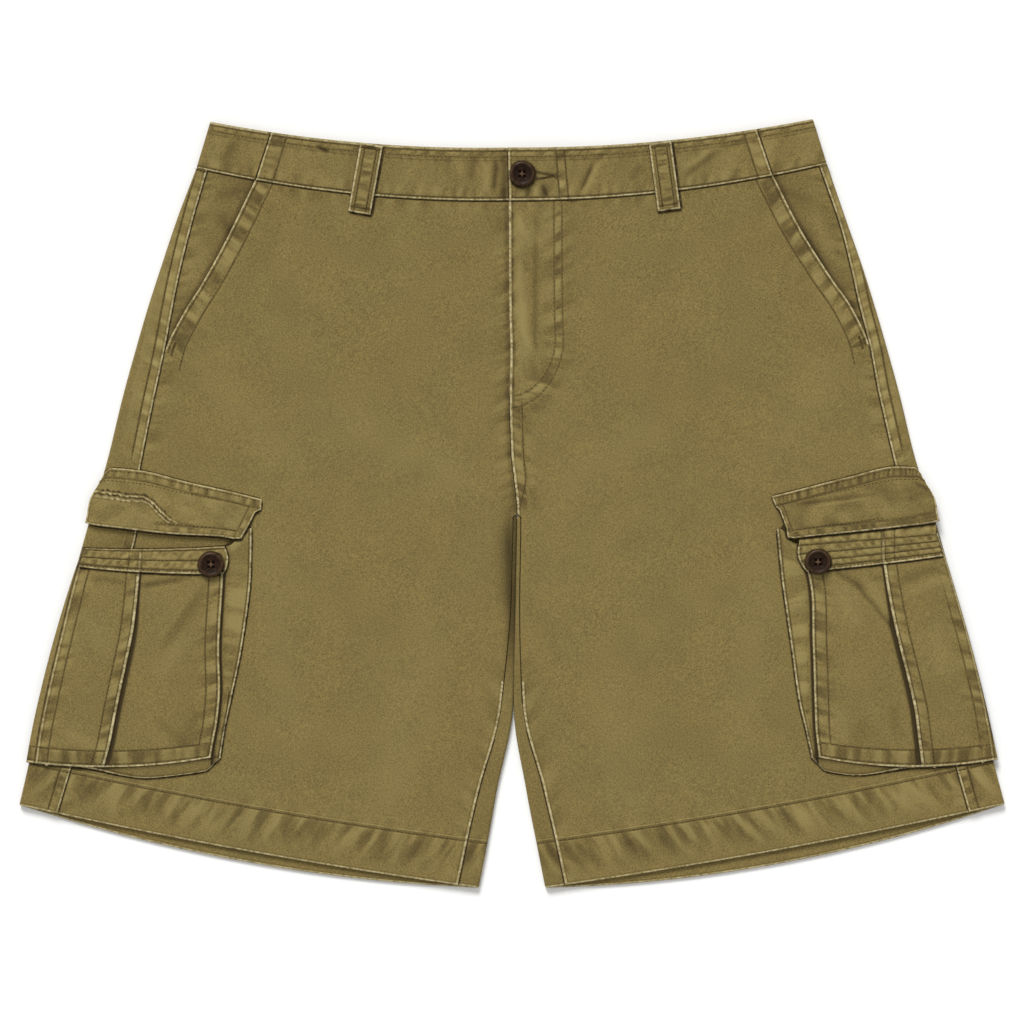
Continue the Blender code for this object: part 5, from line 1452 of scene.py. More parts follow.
def pocket_surface(pocket, distance, down):
    """Points and marks of a pocket's outer side, at distances in from its outer edge.

    down runs from 0 at the mouth to 1 at the bottom of the face, and on to 1 and
    GUSSET_SHARE, over which the gusset comes out below it and meets the leg.
    """
    line = read_table(pocket.rows, np.minimum(down[:, 0], 1))
    width = width_of(line)
    u = distance / width
    x, y = pocket_xy(line, distance)
    below = ease(0, 1, (down - 1) / GUSSET_SHARE)
    drop = 0.5 + GUSSET_DROP * ease(pocket.drop_start, pocket.drop_start + 0.4, u)
    y = y - drop * (1 - 0.8 * ease(0.92, 1, u)) * below
    past, from_pleat = distance - line.face, distance - line.pleat
    gusset = past / (width - line.face)
    # The gusset starts higher than the face, under the flap.
    y = y + 12 * ease(0.15, 0.9, gusset) * fade(0, 0.16, down)

    base = front_height(x, y) + CLEARANCE + WALL
    face_rise = POCKET_MOUTH_RISE + (POCKET_RISE - POCKET_MOUTH_RISE) * ease(0, 0.3, down)
    inward_fall = 0.5 * ease(0, 1.6, past) + 0.5 * ease(0.1, 0.9, gusset)
    down_fall = 0.5 * ease(0, 0.25, below) + 0.5 * ease(0.1, 1, below)
    bottom_fall = 0.55 * ease(0.93, 1, down) * (1 - 0.5 * ease(0.4, 0.9, u))
    height = base + face_rise * (1 - inward_fall) * (1 - down_fall) * (1 - bottom_fall)
    on_face = ease(0, 4, distance - line.piping) * fade(-4, 0, past)
    bottom = fade(0.93, 1, down)
    pleat = PLEAT_STEP * fade(0, PLEAT_LAP, from_pleat) * ease(0.02, 0.2, down)
    pleat = pleat * ease(0, 16, distance - line.piping) - 0.5 * bell(from_pleat - 2.2, 1.4)
    folds = crease_height(pocket.folds, x, y) * on_face
    under_band = ease(BAND_SHARE - 0.01, BAND_SHARE + 0.01, down)
    height = height + (pleat * under_band + crease_height(pocket.creases, x, y)) * on_face * bottom
    height = height + 0.5 * folds * under_band * bottom

    face = down <= 1
    run = down * pocket.depth + 0 * distance
    from_bottom = (1 - down) * pocket.depth + 0 * distance
    from_edge = (1 + GUSSET_SHARE - down) / GUSSET_SHARE * drop + 0 * distance
    from_leg = np.minimum(only(~face, from_edge), width - distance)
    below_face = (down - 1) / GUSSET_SHARE * drop
    face_row, pleat_row = past + FACE_ROW, from_pleat + PLEAT_ROW
    side_row, bottom_row = distance - line.side - SIDE_ROW, from_bottom - BOTTOM_ROW
    on_bottom = (from_bottom < BOTTOM_ROW) & face
    face_row = only(face & (from_bottom > BOTTOM_ROW - 0.6), face_row)
    pleat_row, side_row = only(face, pleat_row), only(face, side_row)
    bottom_row = only((past < -FACE_ROW + 0.6) | (past < -3) & (u > 0.9), bottom_row)
    edge_rows = nearest(only(face, past + EDGE_ROW), only(face, from_pleat + EDGE_ROW),
                        only((past < 0) & face, from_bottom - EDGE_ROW))
    gusset_row = only((past > 3) | ~face, from_leg - GUSSET_ROW)
    rows = nearest(face_row, pleat_row, side_row, bottom_row)
    height = height - 0.24 * bell(rows, 0.8) - 0.15 * bell(gusset_row, 0.8) * (from_leg > 1)
    outside = fade(0, 1, distance / line.piping)
    height = height + (POCKET_OUTER_HEIGHT - height) * outside
    height = height + 0.3 * bell(distance - line.side - 0.8, 0.9) * face

    pleated = face & (down > BAND_SHARE)
    pleat_edge = np.maximum(np.abs(from_pleat + 0.8) - 0.3, 0)
    pale = nearest(only(face, past + WORN), only(pleated, pleat_edge),
                   only(face, np.abs(distance - line.side - 0.7) + 0.16),
                   only((past < 0.4) & face, from_bottom - 0.5), from_leg - WORN)
    # Dark lines of painted shadow and dye left in the seams, just past the edges.
    dark = nearest(only(distance > 4, from_leg),
                   only(face, distance - line.side + 0.9), only(face, past - 0.9),
                   only(pleated, from_pleat - 0.75),
                   only(~face & (past < 0), below_face - 0.9))
    # Painted shade beside the pleat, beside the face's edge, under the band, under the face's
    # bottom and in the lower corner, and painted light and shade on the drag folds.
    deepen = ease(0.16, 0.45, down)
    beside_pleat = bell(from_pleat - 1 - deepen, 0.6 + deepen) * under_band * face
    tone = 0.8 * folds - 1.9 * beside_pleat * (from_pleat > -0.2)
    tone = tone - 1.9 * bell(past - 1.2, 1) * (past > 0) + 0.3 * ease(3.5, 7, past)
    tone = tone - 0.8 * bell(run - BAND_SHARE * pocket.depth, 1.6) * (past < 0)
    tone = tone - 0.8 * ~face * bell(below_face - 1, 1.3)
    corner = bell(np.hypot(past - 1.5, (down - 1) * pocket.depth), 4.5)
    tone = tone - 0.8 * corner * ((past > 0) | ~face)
    strips = strip(-past, 0, FACE_ROW) + strip(-from_pleat, 0, PLEAT_ROW)
    strips = strips + strip(distance - line.side, 0, SIDE_ROW)
    dying = 0.35 * (fade(1, 9, -face_row) * (face_row < 0)
                    + fade(1, 9, np.abs(side_row)) * (side_row > 0))
    weight = np.where(on_bottom | ~face, 0, 0.85 * strips + dying * (past < 0))
    zones = [
        (run + 0.3 * distance + 900 * pocket.seed, distance, weight),
        (distance + 0.25 * from_bottom + 930 * pocket.seed, from_bottom,
         0.8 * strip(from_bottom, 0, BOTTOM_ROW) * (past < 0) * face),
        (run - 0.2 * past + 960 * pocket.seed, past, 0.6 * strip(past, 2, 40, 3) * face),
    ]
    marks = {"pale": pale, "dark": dark, "tone": tone, "seam": strongest(*zones),
             "stitch": nearest(rows, only(np.abs(edge_rows) < 2, edge_rows), gusset_row)}
    return grid(x, y, height), marks, from_leg


def make_pocket(pocket):
    """Pocket body: columns packed along its piping, pleat, face edge and gusset edge."""
    fine = np.arange(0, 1, 1 / (pocket.depth / 1.5))
    ends = np.concatenate((EDGE_STOPS[:9], pocket.depth - EDGE_STOPS[:9], pocket.depth - BOTTOM_ROW
                           + np.array([-0.8, -0.4, 0, 0.4, 0.8]))) / pocket.depth
    gusset = 1 + GUSSET_SHARE * np.array([0.04, 0.1, 0.18, 0.28, 0.4, 0.52, 0.64, 0.75, 0.84,
                                            0.91, 0.96, 0.985, 1])
    down = np.unique(np.round(np.concatenate((fine, ends, [BAND_SHARE, 1], gusset)), 5))[:, None]
    line = read_table(pocket.rows, np.minimum(down[:, 0], 1))
    width = width_of(line)
    close = np.array([0, 0.2, 0.5, 0.9, 1.3, 1.7, 2.1, 2.6, 3.4, 4.6, 6.2])
    row = np.array([-0.8, -0.4, 0, 0.4, 0.8, 1.6])
    parts = [
        line.piping * np.array([0, 0.06, 0.15, 0.3, 0.5, 0.7, 0.85]),
        line.piping + np.concatenate((close[:-1], SIDE_ROW + row)),
        line.pleat - np.concatenate((close[1:-1], PLEAT_ROW + row))[::-1],
        line.pleat + close,
        line.face - np.concatenate((close[1:-1], FACE_ROW + row))[::-1],
        line.face + close,
        width - np.array([4.4, 3.2, 2.4, 2, 1.6, 1.2, 0.9, 0.62, 0.38, 0.18, 0.05, 0]),
    ]
    filled = [parts[0]]
    for part, count in zip(parts[1:], (0, 10, 0, 16, 0, 4)):
        last, step = filled[-1][:, -1:], np.linspace(0, 1, count + 2)[None, 1:-1]
        filled += [last + (part[:, :1] - last) * step, part]
    distance = np.concatenate(filled, axis=1)
    points, marks, from_leg = pocket_surface(pocket, distance, down)
    edge = least(distance, from_leg, down * pocket.depth)
    shade_beside(outline_of(points, 6), [f"front_panel_{pocket.name}_cloth",
                                         f"back_panel_{pocket.name}_cloth"], 0.5)
    return cloth(f"cargo_pocket_{pocket.name}_cloth", points, nose(edge), WALL, marks,
                 flip=pocket is LEFT)


def pocket_path(pocket, distance, start, end):
    """Line down a pocket, its distance read from the pocket's row."""
    down = np.linspace(start, end, 300)[:, None]
    line = read_table(pocket.rows, np.minimum(down[:, 0], 1))
    return pocket_surface(pocket, distance(line) + 0 * down, down)[0][:, 0]


def pocket_cross_path(pocket, down, start, end):
    """Line across a pocket at one depth, from distance start to distance end."""
    line = read_table(pocket.rows, np.array([min(down, 1)]))
    distance = start(line) + (end(line) - start(line)) * np.linspace(0, 1, 300)[None, :]
    return pocket_surface(pocket, distance, np.array([[down]]))[0][0]


for pocket in (RIGHT, LEFT):
    piece = make_pocket(pocket)
    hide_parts(f"cargo_pocket_{pocket.name}")
    low = 1 - BOTTOM_ROW / pocket.depth
    sew(f"pocket_{pocket.name}", [
        pocket_path(pocket, lambda r: r.face - FACE_ROW, BAND_SHARE, low),
        pocket_path(pocket, lambda r: r.face - EDGE_ROW, BAND_SHARE, 0.985),
        pocket_path(pocket, lambda r: r.pleat - PLEAT_ROW, BAND_SHARE, 0.995),
        pocket_path(pocket, lambda r: r.pleat - EDGE_ROW, BAND_SHARE, 0.995),
        pocket_path(pocket, lambda r: r.side + SIDE_ROW, BAND_SHARE, 0.995),
        pocket_path(pocket, lambda r: width_of(r) - GUSSET_ROW, 0, 1.02),
        pocket_cross_path(pocket, low, lambda r: r.side, lambda r: r.face - FACE_ROW),
        pocket_cross_path(pocket, 1 - EDGE_ROW / pocket.depth,
                          lambda r: r.side, lambda r: r.face - 1.5),
    ])

# ==== Pocket bands ===============================================================
# A strip of twill sewn over each pocket's mouth in rows, its inner end a round tab that
# carries the button. The rows draw it up, so it is the most puckered and worn part.
BAND_TAB = 3.2
PLEAT_SEAM, BAND_EDGE_ROW = 8.5, 1.6    # rows down the band beside the pleat, and its edge row
# The left band runs on up under its flap: from the mouth up to the flap's lower edge at
# its outer and inner end, on from there, its height there, and its fall at the side fold.
TUCK_OUTER, TUCK_INNER, TUCK_DEPTH, TUCK_HEIGHT, TUCK_DROP, TUCK_FOLD = 8.5, 3.7, 6, 3.7, 1.4, 12
SADDLE_ROWS = {"right": (1.6, 9.4, 16.6), "left": (1.6, 7.6, 13, 17.6)}


def tab_end(line, down):
    """Distance of the band's inner end, which bulges out in a parabola round the button."""
    return line.face + BAND_TAB * (1 - (2 * down / BAND_SHARE - 1) ** 2) + 0.5


def pocket_band_surface(pocket, distance, down):
    """Points and marks of a band: it lies on the pocket, and sinks at its stitch rows.

    Below 0, down tells how much of the tuck lies above the mouth, from 0 to -1.
    """
    share, down = np.maximum(-down, 0), np.maximum(down, 0)
    line = read_table(pocket.rows, down[:, 0])
    points, _, _ = pocket_surface(pocket, np.minimum(distance, line.face), down)
    x, y = pocket_xy(line, distance)
    gap = TUCK_OUTER + (TUCK_INNER - TUCK_OUTER) * distance / (line.face + 0.5)
    up = share * (gap + TUCK_DEPTH)
    y = y + up
    depth = down * pocket.depth + 0 * distance
    total = BAND_SHARE * pocket.depth
    rows = nearest(*(depth - row for row in SADDLE_ROWS[pocket.name]))
    between = sum((depth > row).astype(float) for row in SADDLE_ROWS[pocket.name])
    bumps = ripple(distance + 0.2 * depth + 43 * between, 7.6, pocket.seed + 3)
    bumps = bumps * (1 - bell(rows, 1.5))
    wave = ripple(distance - 0.1 * depth, 17, pocket.seed + 4)
    joined = distance - line.pleat
    seam = nearest(joined, joined + PLEAT_SEAM)
    under = front_height(x, y) + TUCK_HEIGHT - TUCK_DROP * fade(0, TUCK_FOLD, distance)
    z = points[..., 2] + WALL + CLEARANCE
    z = z + (under - z) * ease(0, 0.9, up / gap)
    z = z + 0.36 * bumps + 0.15 * wave
    z = z - 0.26 * bell(rows, 0.8) - 0.2 * bell(seam, 0.9)
    depth = depth - up
    top = depth + (TUCK_OUTER + TUCK_DEPTH) * (pocket is LEFT)
    worn = least(top, total - depth, tab_end(line, down) - distance)
    edge = np.minimum(worn, distance - line.piping)
    # The tone paints the bumps lighter where they rise, darker along the rows, and paints shadow on
    # the tuck where it goes up under the flap.
    marks = {
        "pale": nearest(worn - WORN, joined + 0.2) + 0.4 * (depth < 2.5) + 0.5 * (up > 0),
        "dark": nearest(joined - 1),
        "stitch": nearest(rows, joined + PLEAT_SEAM),
        "tone": 0.65 * bumps + 0.2 - 0.25 * bell(rows, 0.9) - 0.9 * ease(0.6, 1.1, up / gap),
        "seam": (1.7 * distance + 61 * between + 900 * pocket.seed, 7 * depth, 0.5),
    }
    return grid(x, y, z), marks, edge


def make_pocket_band(pocket):
    """Stitched band over a pocket's mouth, with its tuck on the left; its columns are
    packed at both ends, and one runs down at the pleat."""
    total = BAND_SHARE * pocket.depth
    depth = np.unique(np.concatenate([EDGE_STOPS[:8], np.arange(2.2, total - 2, 0.9),
                                      total - EDGE_STOPS[:8], SADDLE_ROWS[pocket.name]]))
    down = depth[:, None] / pocket.depth
    if pocket is LEFT:
        down = np.concatenate((-np.linspace(1, 0, 15)[:-1, None], down))
    line = read_table(pocket.rows, np.maximum(down[:, 0], 0))
    tab = tab_end(line, np.maximum(down, 0))
    middle = (line.pleat - line.piping) / (tab - line.piping)
    share = np.concatenate((np.linspace(0, 1, 34)[None, 1:-1] * middle,
                            middle + (1 - middle) * np.linspace(0, 1, 50)[None, :-1]), axis=1)
    stops = EDGE_STOPS[:8]
    share = share * (1 - 2 * stops[-1] / (tab - line.piping)) + stops[-1] / (tab - line.piping)
    between = line.piping + share * (tab - line.piping)
    distance = np.concatenate((line.piping + stops, between, tab - stops[::-1]), axis=1)
    points, marks, edge = pocket_band_surface(pocket, distance, down)
    shade_beside(outline_of(points, 4), [f"cargo_pocket_{pocket.name}_cloth"], 0.5, (0, -0.5))
    return cloth(f"cargo_band_{pocket.name}_cloth", points, nose(edge), WALL, marks,
                 flip=pocket is LEFT)


for pocket in (RIGHT, LEFT):
    piece = make_pocket_band(pocket)
    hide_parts(f"cargo_band_{pocket.name}")
    paths = []
    along = np.linspace(0, 1, 300)[None, :]
    for row in (*SADDLE_ROWS[pocket.name], BAND_SHARE * pocket.depth - BAND_EDGE_ROW):
        down = np.array([[row / pocket.depth]])
        line = read_table(pocket.rows, down[:, 0])
        distance = line.piping + 0.6 + (line.face + 1.5 - line.piping) * along
        paths.append(pocket_band_surface(pocket, distance, down)[0][0])
    for offset in (PLEAT_SEAM, 1.8):
        down = np.linspace(0.004, BAND_SHARE - 0.004, 60)[:, None]
        line = read_table(pocket.rows, down[:, 0])
        paths.append(pocket_band_surface(pocket, line.pleat - offset, down)[0][:, 0])
    sew(f"cargo_band_{pocket.name}", paths)

# ==== Pocket flaps ===============================================================
# Flaps of two layers of twill, sewn to the leg above each pocket and turned down over
# it. They are stitched round their free edges, which curl and wear pale.
FLAP_WALL, FLAP_DROP, FLAP_CORNER, FLAP_BULGE = 1.5, 1.5, 1.2, 3
FLAP_LENGTH, FLAP_DEPTH = 120, 34
FLAP_TOP_ROW, FLAP_END_ROW, FLAP_LOW_ROW = 7.6, 6.6, 6.4
FLAP_RULING = 35            # a ruling's length, by which the upper rows are placed
FlapStation = namedtuple("FlapStation", "across top_x top_y bottom_x bottom_y")
FLAP_STRIP, FLAP_TURN = 0.23, 0.32      # shares of the depth: sewn strip, start of the free end
# fray is where a fold across the flap has been rubbed through, frayed is how far. At the
# inner end the sewn strip sticks out by the ear, or the free end is inset.
Flap = namedtuple("Flap", "name stations creases fray frayed puff ear inset low_start pleat "
                          "tone seed")
RIGHT_FLAP = Flap("right", rows_of(
    FlapStation,
    (0, -301.2, 22, -315.4, -14.4),
    (0.06, -296, 26.2, -310, -15.8),
    (0.25, -274.5, 24.4, -288.6, -18.5),
    (0.55, -239.8, 16, -249.4, -22.8),
    (0.85, -201.3, 7.4, -216, -24.6),
    (1, -184.6, 3, -200, -27.4),
), rows_of(
    Crease,
    (-262, 17, -236, 5, 3.5, 0.5), (-230, 2, -205, -8, 5, 0.4), (-240, -12, -222, -8, 2.5, -0.35),
    (-214, -2, -206, -12, 2, -0.4),
), ((-313, 8.4), (-296.8, 6.3), (-282, 4), (-272.4, 3.7), (-265.8, -0.4), (-259.9, -7),
    (-254, -12.2), (-247.3, -15.6), (-236, -17.4)), 1, 1.8, 3.2, 0, 0.42, 7.4, 0.06, 95)
LEFT_FLAP = Flap("left", rows_of(
    FlapStation,
    (0, 302, 22, 315.6, -13),
    (0.06, 297, 27, 309, -14.6),
    (0.25, 282.7, 27.4, 290, -17),
    (0.55, 248, 19.6, 258, -20.6),
    (0.85, 207, 9.2, 219, -24.6),
    (1, 191.7, 5.4, 203.6, -26.6),
), rows_of(
    Crease,
    (202, -2, 268, 6.5, 1.6, -0.8), (226, -2, 262, 3.6, 1.2, 0.7), (296, 16, 309, 9.5, 1.5, -0.9),
    (285, 2, 310, 6, 2.5, -0.5), (240, -10, 285, -4, 5, 0.4), (232, -16, 262, -16, 2, -0.5),
    (276, -16, 312, -6, 2, -0.6), (250, 12, 290, 20, 4, 0.35),
), ((266, -14.6), (290, -12), (313, -7.6)), 0.2, 4, 0, 2, 0.38, 4.8, -0.24, 96)


def flap_surface(flap, across, down):
    """Points and marks of a flap: straight rulings from its sewn top to its free edge."""
    line = read_table(flap.stations, across[0])
    top_x, top_y, low_x, low_y = (column.T for column in line[1:])
    x = top_x + (low_x - top_x) * down
    corner = ease(0.94, 1, across)
    y = top_y + (low_y - top_y) * down + FLAP_CORNER * corner * ease(0.6, 1, down)
    free = ease(FLAP_STRIP, FLAP_TURN, down)
    end = flap.inset * free * fade(0.7, 1, down)
    x = x + np.sign(x) * (end - flap.ear * down / FLAP_STRIP * (1 - free)) * corner
    x = x + np.sign(x) * FLAP_BULGE * fade(0, 0.1, across) * np.sin(pi * down) ** 2
    depth = np.hypot(low_x - top_x, low_y - top_y)
    from_top, from_low = depth * down, depth * (1 - down)
    from_end, along = FLAP_LENGTH * (1 - across) + 0 * down, FLAP_LENGTH * across + 0 * down
    creases = crease_height(flap.creases, x, y)
    creases = creases * ease(FLAP_TOP_ROW - 1, FLAP_TOP_ROW + 1, from_top)
    z = front_height(x, y) + CLEARANCE + FLAP_WALL + flap.puff * ease(0.1, 0.9, down)
    z = z - FLAP_DROP * fade(0, 0.08, across) * ease(0.3, 0.9, down)
    top_row = from_top - FLAP_TOP_ROW
    inner, low = from_end > FLAP_END_ROW - 0.5, from_low > FLAP_LOW_ROW - 0.5
    end_row = only((from_top > FLAP_TOP_ROW) & low, from_end - FLAP_END_ROW)
    low_row = only(inner & (across > flap.low_start), from_low - FLAP_LOW_ROW)
    rows = nearest(top_row, end_row, low_row)
    edge = least(from_top, from_low, from_end, along)
    z = z + 0.55 * creases - 0.26 * bell(rows, 0.9) + 0.35 * bell(from_low - 1.4, 1.6)
    off, run = from_path(x, y, flap.fray)
    flecks = ripple(run + 1.3 * off, 5.3, flap.seed + 2)
    last = 0 * run + from_path(*np.array(flap.fray[-1:]).T, flap.fray)[1]
    frayed = flap.frayed * ease(0, 7, run) * fade(last - 24, last - 2, run)
    rough = fade(34, 48, run)
    off = off + 0.45 * rough * ripple(run, 8.3, flap.seed + 5)
    off = off + 0.2 * ripple(run, 3.4, flap.seed + 7)
    pleats = ripple(along - 0.35 * from_top, flap.pleat, flap.seed + 3)
    pleats = pleats * strip(from_top, 0.8, FLAP_TOP_ROW, 1.6)
    z = z + 0.25 * pleats
    lumps = ripple(run + 0.6 * off, 4.6, flap.seed + 1) * bell(off, 2.4) * frayed
    z = z + 0.5 * frayed * bell(off, 2.6) + 0.26 * lumps
    gap = 1.2 + 0.5 * flecks + 0.9 * rough * (off < 0)
    fray_pale = nearest(nearest(off - gap - 0.3 * lumps) + 0.12 + 0.4 * flecks,
                        nearest(off + gap) + 0.15 - 0.4 * flecks)
    fray_pale = fray_pale + 0.9 * (1 - frayed)
    weight = 0.35 * strip(from_top, 0, FLAP_TOP_ROW)
    end_weight = 0.8 * strip(from_end, 0, FLAP_END_ROW)
    end_weight = end_weight * ease(FLAP_TOP_ROW, FLAP_TOP_ROW + 2, from_top)
    low_weight = 0.7 * strip(from_low, 0, FLAP_LOW_ROW) * (0.4 + 0.6 * (across > flap.low_start))
    body = 0.3 * ease(FLAP_TOP_ROW, FLAP_TOP_ROW + 3, from_top)
    # The tone paints the creases, the pleats of the top strip and the frayed lumps lighter where
    # they rise and darker where they fall, as lit, and darker along the top row.
    marks = {
        "pale": np.minimum(np.abs(edge - WORN) + 0.22 * (from_top < 2), fray_pale),
        "dark": nearest(off, off - gap - 1.6) - 0.3 * flecks + 0.9 * (1 - frayed),
        "stitch": rows,
        "tone": 0.62 * creases + flap.tone + 0.75 * lumps + 0.15 * frayed * bell(off, 2.4)
                - 0.3 * bell(top_row, 0.8) + 0.6 * pleats,
        "seam": strongest((1.5 * along + 0.3 * from_top + 900 * flap.seed, from_top, weight),
                          (1.5 * from_top + 930 * flap.seed, from_end, end_weight),
                          (1.5 * along + 960 * flap.seed, from_low, low_weight),
                          (0.5 * along + 990 * flap.seed, 3 * from_top, body)),
    }
    return grid(x, y, z), marks, edge


def make_flap(flap):
    """Flap over a pocket, which shades the leg, the pocket and its band beside it."""
    across = np.unique(np.concatenate((
        EDGE_STOPS[:9], FLAP_LENGTH - EDGE_STOPS,
        FLAP_LENGTH - FLAP_END_ROW + np.array([-0.4, 0, 0.4]),
        np.arange(3.5, FLAP_LENGTH - 8, 1.1)))) / FLAP_LENGTH
    stops = EDGE_STOPS[:10]
    down = np.unique(np.round(np.concatenate((
        stops, FLAP_DEPTH - stops, np.arange(3.9, FLAP_DEPTH - 3.9, 0.7))), 3)) / FLAP_DEPTH
    points, marks, edge = flap_surface(flap, across[None, :], down[:, None])
    outline = outline_of(points, 5)
    shade_beside(outline, [f"front_panel_{flap.name}_cloth", f"back_panel_{flap.name}_cloth"], 0.4)
    shade_beside(outline, [f"cargo_pocket_{flap.name}_cloth"], 0.9, (0, -0.6))
    shade_beside(outline, [f"cargo_band_{flap.name}_cloth"], 0.3, (0, -0.5))
    return cloth(f"cargo_flap_{flap.name}_cloth", points, nose(edge), FLAP_WALL, marks,
                 flip=flap is LEFT_FLAP)


for flap in (RIGHT_FLAP, LEFT_FLAP):
    piece = make_flap(flap)
    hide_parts(f"cargo_flap_{flap.name}")
    whole = np.linspace(0.004, 0.996, 400)[None, :]
    inner = np.linspace(flap.low_start + 0.004, 1 - FLAP_END_ROW / FLAP_LENGTH, 300)[None, :]
    side = np.linspace(FLAP_TOP_ROW / FLAP_DEPTH, 1 - FLAP_LOW_ROW / FLAP_DEPTH, 60)[:, None]
    sew(f"flap_{flap.name}", [
        *(flap_surface(flap, whole, np.array([[row / FLAP_RULING]]))[0][0]
          for row in (FLAP_TOP_ROW, 1.9)),
        flap_surface(flap, inner, np.array([[1 - FLAP_LOW_ROW / FLAP_DEPTH]]))[0][0],
        flap_surface(flap, np.array([[1 - FLAP_END_ROW / FLAP_LENGTH]]), side)[0][:, 0]])

# ==== Buttons ====================================================================
# Four-hole buttons moulded of dark brown resin, with a raised rim round a shallow dish,
# sewn on with brown thread through the holes.
BUTTON_RADIUS, BUTTON_HEIGHT = 9.4, 3
HOLE_RADIUS, HOLE_SPACING, HOLE_DEPTH = 1.05, 3.3, 1.7
WELL_STEP = 0.12            # half the width over which a hole's wall falls
THREAD_REACH, THREAD_GAPS, THREAD_HEIGHT = 2, (-0.25, 0.25), 0.69
BUTTON_BROWN, BUTTON_WORN_AND_HIGHLIGHT, BUTTON_THREAD = "26170D", "5A432F", "80603F"
# Half of the section, from the middle of the dish over the rim to the back: shares of
# the radius and of the height.
BUTTON_PROFILE = ((0, 0.63), (0.35, 0.64), (0.62, 0.7), (0.7, 0.78), (0.75, 0.97), (0.8, 1),
                  (0.86, 0.985), (0.93, 0.88), (0.975, 0.72), (1, 0.5), (0.985, 0.3),
                  (0.93, 0.13), (0.85, 0.03), (0.78, 0), (0, 0))
BUTTONS = (("button_waist", 7.4, 243.1), ("button_cargo_right", -222, -45.1),
           ("button_cargo_left", 225.7, -43.2))


def make_resin():
    """Moulded polyester resin: nearly black brown, with faint darker clouds in it, satin
    on top, and glossier along the rim, which is painted paler there as worn and as a
    painted highlight."""
    finish = {"Base Color": linear(BUTTON_BROWN), "Roughness": 0.42, "IOR": 1.45,
              "Specular IOR Level": 0.12}
    made, tree, surface = material("moulded_polyester_resin", finish)
    node = partial(add, tree)
    place = node("TexCoord", out="Object")
    clouds = node("TexNoise", {"Scale": 1000 / 3.5, "Detail": 3}, {"Vector": place})
    cloud = node("MapRange", {"From Min": 0.35, "From Max": 0.7}, {"Value": clouds})
    colour = node("Mix", {"data_type": "RGBA", 6: linear("1B1008"), 7: linear("2E1D10")},
                  {0: cloud})
    rubbed = node("Attribute", {"attribute_name": "rubbed"}, out="Fac")
    share = node("Math", {"operation": "MULTIPLY"}, {0: rubbed, 1: clouds})
    # Paler brown on the rim, as wear and as a painted highlight.
    colour = node("Mix", {"data_type": "RGBA", 7: linear(BUTTON_WORN_AND_HIGHLIGHT)}, {0: share, 6: colour})
    tree.links.new(colour, surface.inputs["Base Color"])
    gloss = node("MapRange", {"To Min": 0.48, "To Max": 0.32}, {"Value": rubbed})
    tree.links.new(gloss, surface.inputs["Roughness"])
    grain = node("TexNoise", {"Scale": 1000 / 0.8, "Detail": 2}, {"Vector": place})
    relief = node("Bump", {"Strength": 0.25, "Distance": 0.00008}, {"Height": grain})
    tree.links.new(relief, surface.inputs["Normal"])
    return made


def make_button_thread():
    """Brown polyester sewing thread, slightly lustrous, wound flat over the dish."""
    finish = {"Base Color": linear(BUTTON_THREAD), "Roughness": 0.6, "Specular IOR Level": 0.4}
    made, tree, surface = material("brown_sewing_thread", finish)
    node = partial(add, tree)
    plies = node("TexNoise", {"Scale": 1000 / 0.7, "Detail": 1},
                 {"Vector": node("TexCoord", out="Object")})
    colour = node("Mix", {"data_type": "RGBA", 6: linear("5E432C"), 7: linear("8E6C4C")},
                  {0: plies})
    tree.links.new(colour, surface.inputs["Base Color"])
    return made


resin, button_thread = make_resin(), make_button_thread()


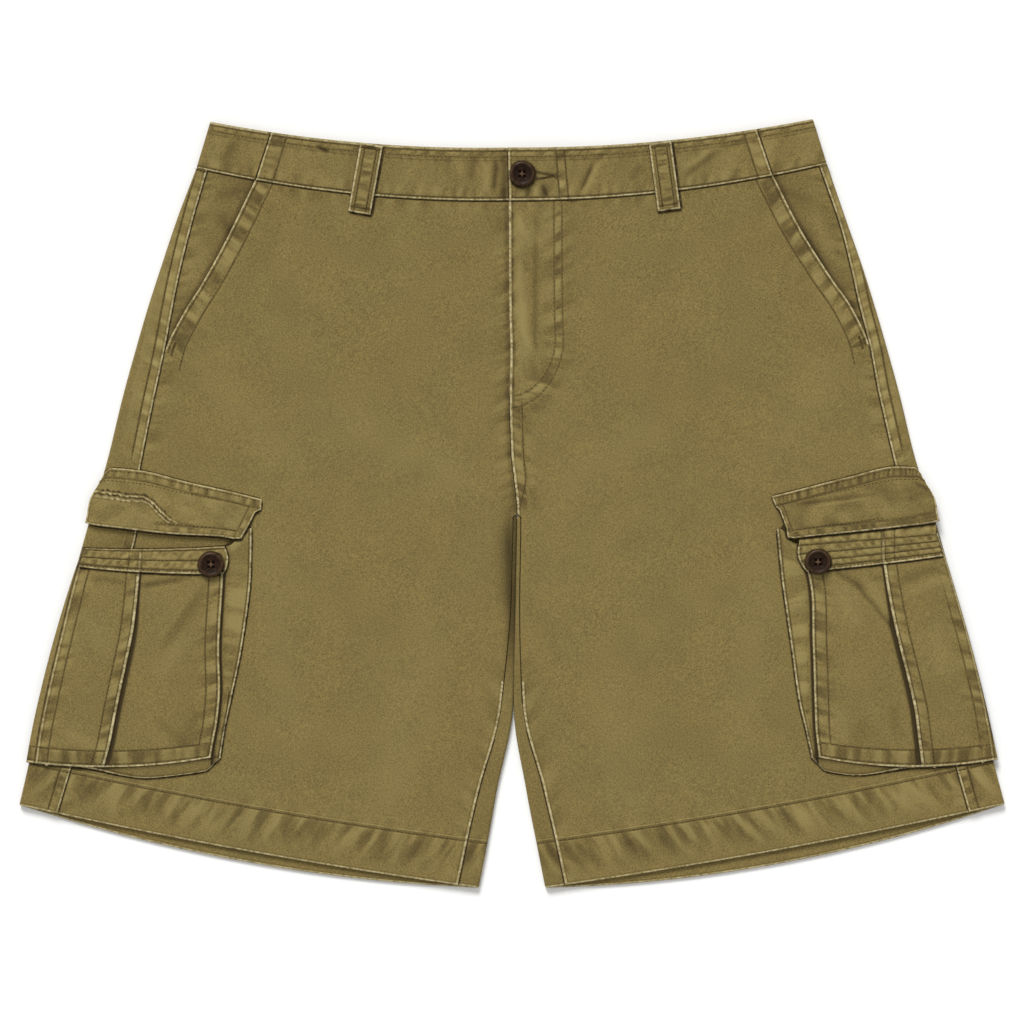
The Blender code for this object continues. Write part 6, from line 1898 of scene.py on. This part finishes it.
def make_button(name, middle_x, middle_y, seat):
    """The profile turned in 96 steps, with four round wells sunk into its dish.

    A well is a step down of HOLE_DEPTH across WELL_STEP either side of its radius. The
    middle and the back are closed with one point each.
    """
    turns = 96
    outline = np.array(BUTTON_PROFILE)
    inner = np.arange(0.12, 3.6, 0.14) / BUTTON_RADIUS
    inner_height = np.interp(inner, outline[:4, 0], outline[:4, 1])
    profile = np.concatenate((np.stack((inner, inner_height), -1), outline[2:-1]))
    angle = np.linspace(0, 2 * pi, turns, endpoint=False)[None, :]
    radius = profile[:, :1] * BUTTON_RADIUS
    x, y = radius * np.cos(angle), radius * np.sin(angle)
    z = profile[:, 1:] * BUTTON_HEIGHT + 0 * x
    well = np.zeros_like(x)
    for side_x, side_y in ((1, 1), (1, -1), (-1, 1), (-1, -1)):
        off = np.hypot(x - side_x * HOLE_SPACING / 2, y - side_y * HOLE_SPACING / 2)
        well = np.maximum(well, 1 - ease(HOLE_RADIUS - WELL_STEP, HOLE_RADIUS + WELL_STEP, off))
    z = z - HOLE_DEPTH * well * (radius < 4)
    rings, count = len(profile), len(profile) * turns
    corners = grid(middle_x + x, middle_y + y, seat + z).reshape(-1, 3)
    ends = [(middle_x, middle_y, seat + outline[0, 1] * BUTTON_HEIGHT), (middle_x, middle_y, seat)]
    index = np.arange(count).reshape(rings, turns)
    ahead = np.roll(index, -1, axis=1)
    quads = np.stack((index[:-1], index[1:], ahead[1:], ahead[:-1]), -1).reshape(-1, 4)
    top = np.stack((np.full(turns, count), index[0], ahead[0]), -1)
    back = np.stack((np.full(turns, count + 1), ahead[-1], index[-1]), -1)
    mesh = bpy.data.meshes.new(name)
    mesh.from_pydata(np.concatenate((corners, ends)) * MM, [],
                     [*quads.tolist(), *top.tolist(), *back.tolist()])
    mesh.shade_smooth()
    # The rim's top is worn and painted paler as a highlight, and so is a fine line where the dish
    # begins.
    rim = 1.8 * bell(profile[:, :1] - 0.9, 0.05) + bell(profile[:, :1] - 0.76, 0.02)
    rubbed = np.concatenate(((np.clip(rim, 0, 1) + 0 * x).ravel(), [0, 0]))
    mesh.attributes.new("rubbed", "FLOAT", "POINT").data.foreach_set("value", rubbed)
    return dress(name, mesh, resin)


for name, x, y in BUTTONS:
    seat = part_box(name)[0][2] / MM
    piece = make_button(name + "_resin", x, y, seat)
    turn = np.linspace(0, 2 * pi, 40, endpoint=False)
    under = name.replace("button_cargo", "cargo_band")
    under = under.replace("button_waist", "waistband_front_left")
    # Painted shadow round the button on the cloth under it.
    shade_beside(np.stack((x + BUTTON_RADIUS * np.cos(turn), y + BUTTON_RADIUS * np.sin(turn)), -1),
                 [under + "_cloth"], 0.5, (0.2, -0.4))
    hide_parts(name)
    # The strands come up at the inner corner of each hole and cross the middle in a plus.
    height, reach = seat + THREAD_HEIGHT * BUTTON_HEIGHT, THREAD_REACH
    strands = [((x + s, y - reach, height), (x + s, y + reach, height)) for s in THREAD_GAPS]
    strands += [((x - reach, y + s, height), (x + reach, y + s, height)) for s in THREAD_GAPS]
    starts, ends = np.array(strands).transpose(1, 0, 2)
    stitches("thread_" + name, starts, ends, radius=0.22, finish=button_thread)

# A purled buttonhole, pulled open by the button: stitches along and across both sides of
# a slit, with a tack at its outer end.
PURL_PITCH, PURL_REACH = 0.8, 0.6
place = np.arange(SLIT_START, SLIT_END, PURL_PITCH)
height = left_band_height(place) + 0.12
for side, sign in (("upper", 1), ("lower", -1)):
    y = SLIT_Y + sign * (0.3 + SLIT_OPEN * (SLIT_END - place) / (SLIT_END - SLIT_START))
    lip = np.stack((place, y, height), -1)
    across, inward = (0, PURL_REACH, 0), (0, sign * 0.7, 0)
    stitches("buttonhole_" + side, lip - across, lip + across, radius=TACK_RADIUS)
    stitches("buttonhole_edge_" + side, lip[:-1] - inward, lip[1:] - inward, radius=0.3)
tack = np.array([(SLIT_END, SLIT_Y + y, float(height[-1])) for y in (-1.8, 1.8)])
stitches("buttonhole_tack", *bar_tack(tack, 2.4), radius=TACK_RADIUS)

size = {"cad": CAD_BOX, "visual": [list(corner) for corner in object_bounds()]}
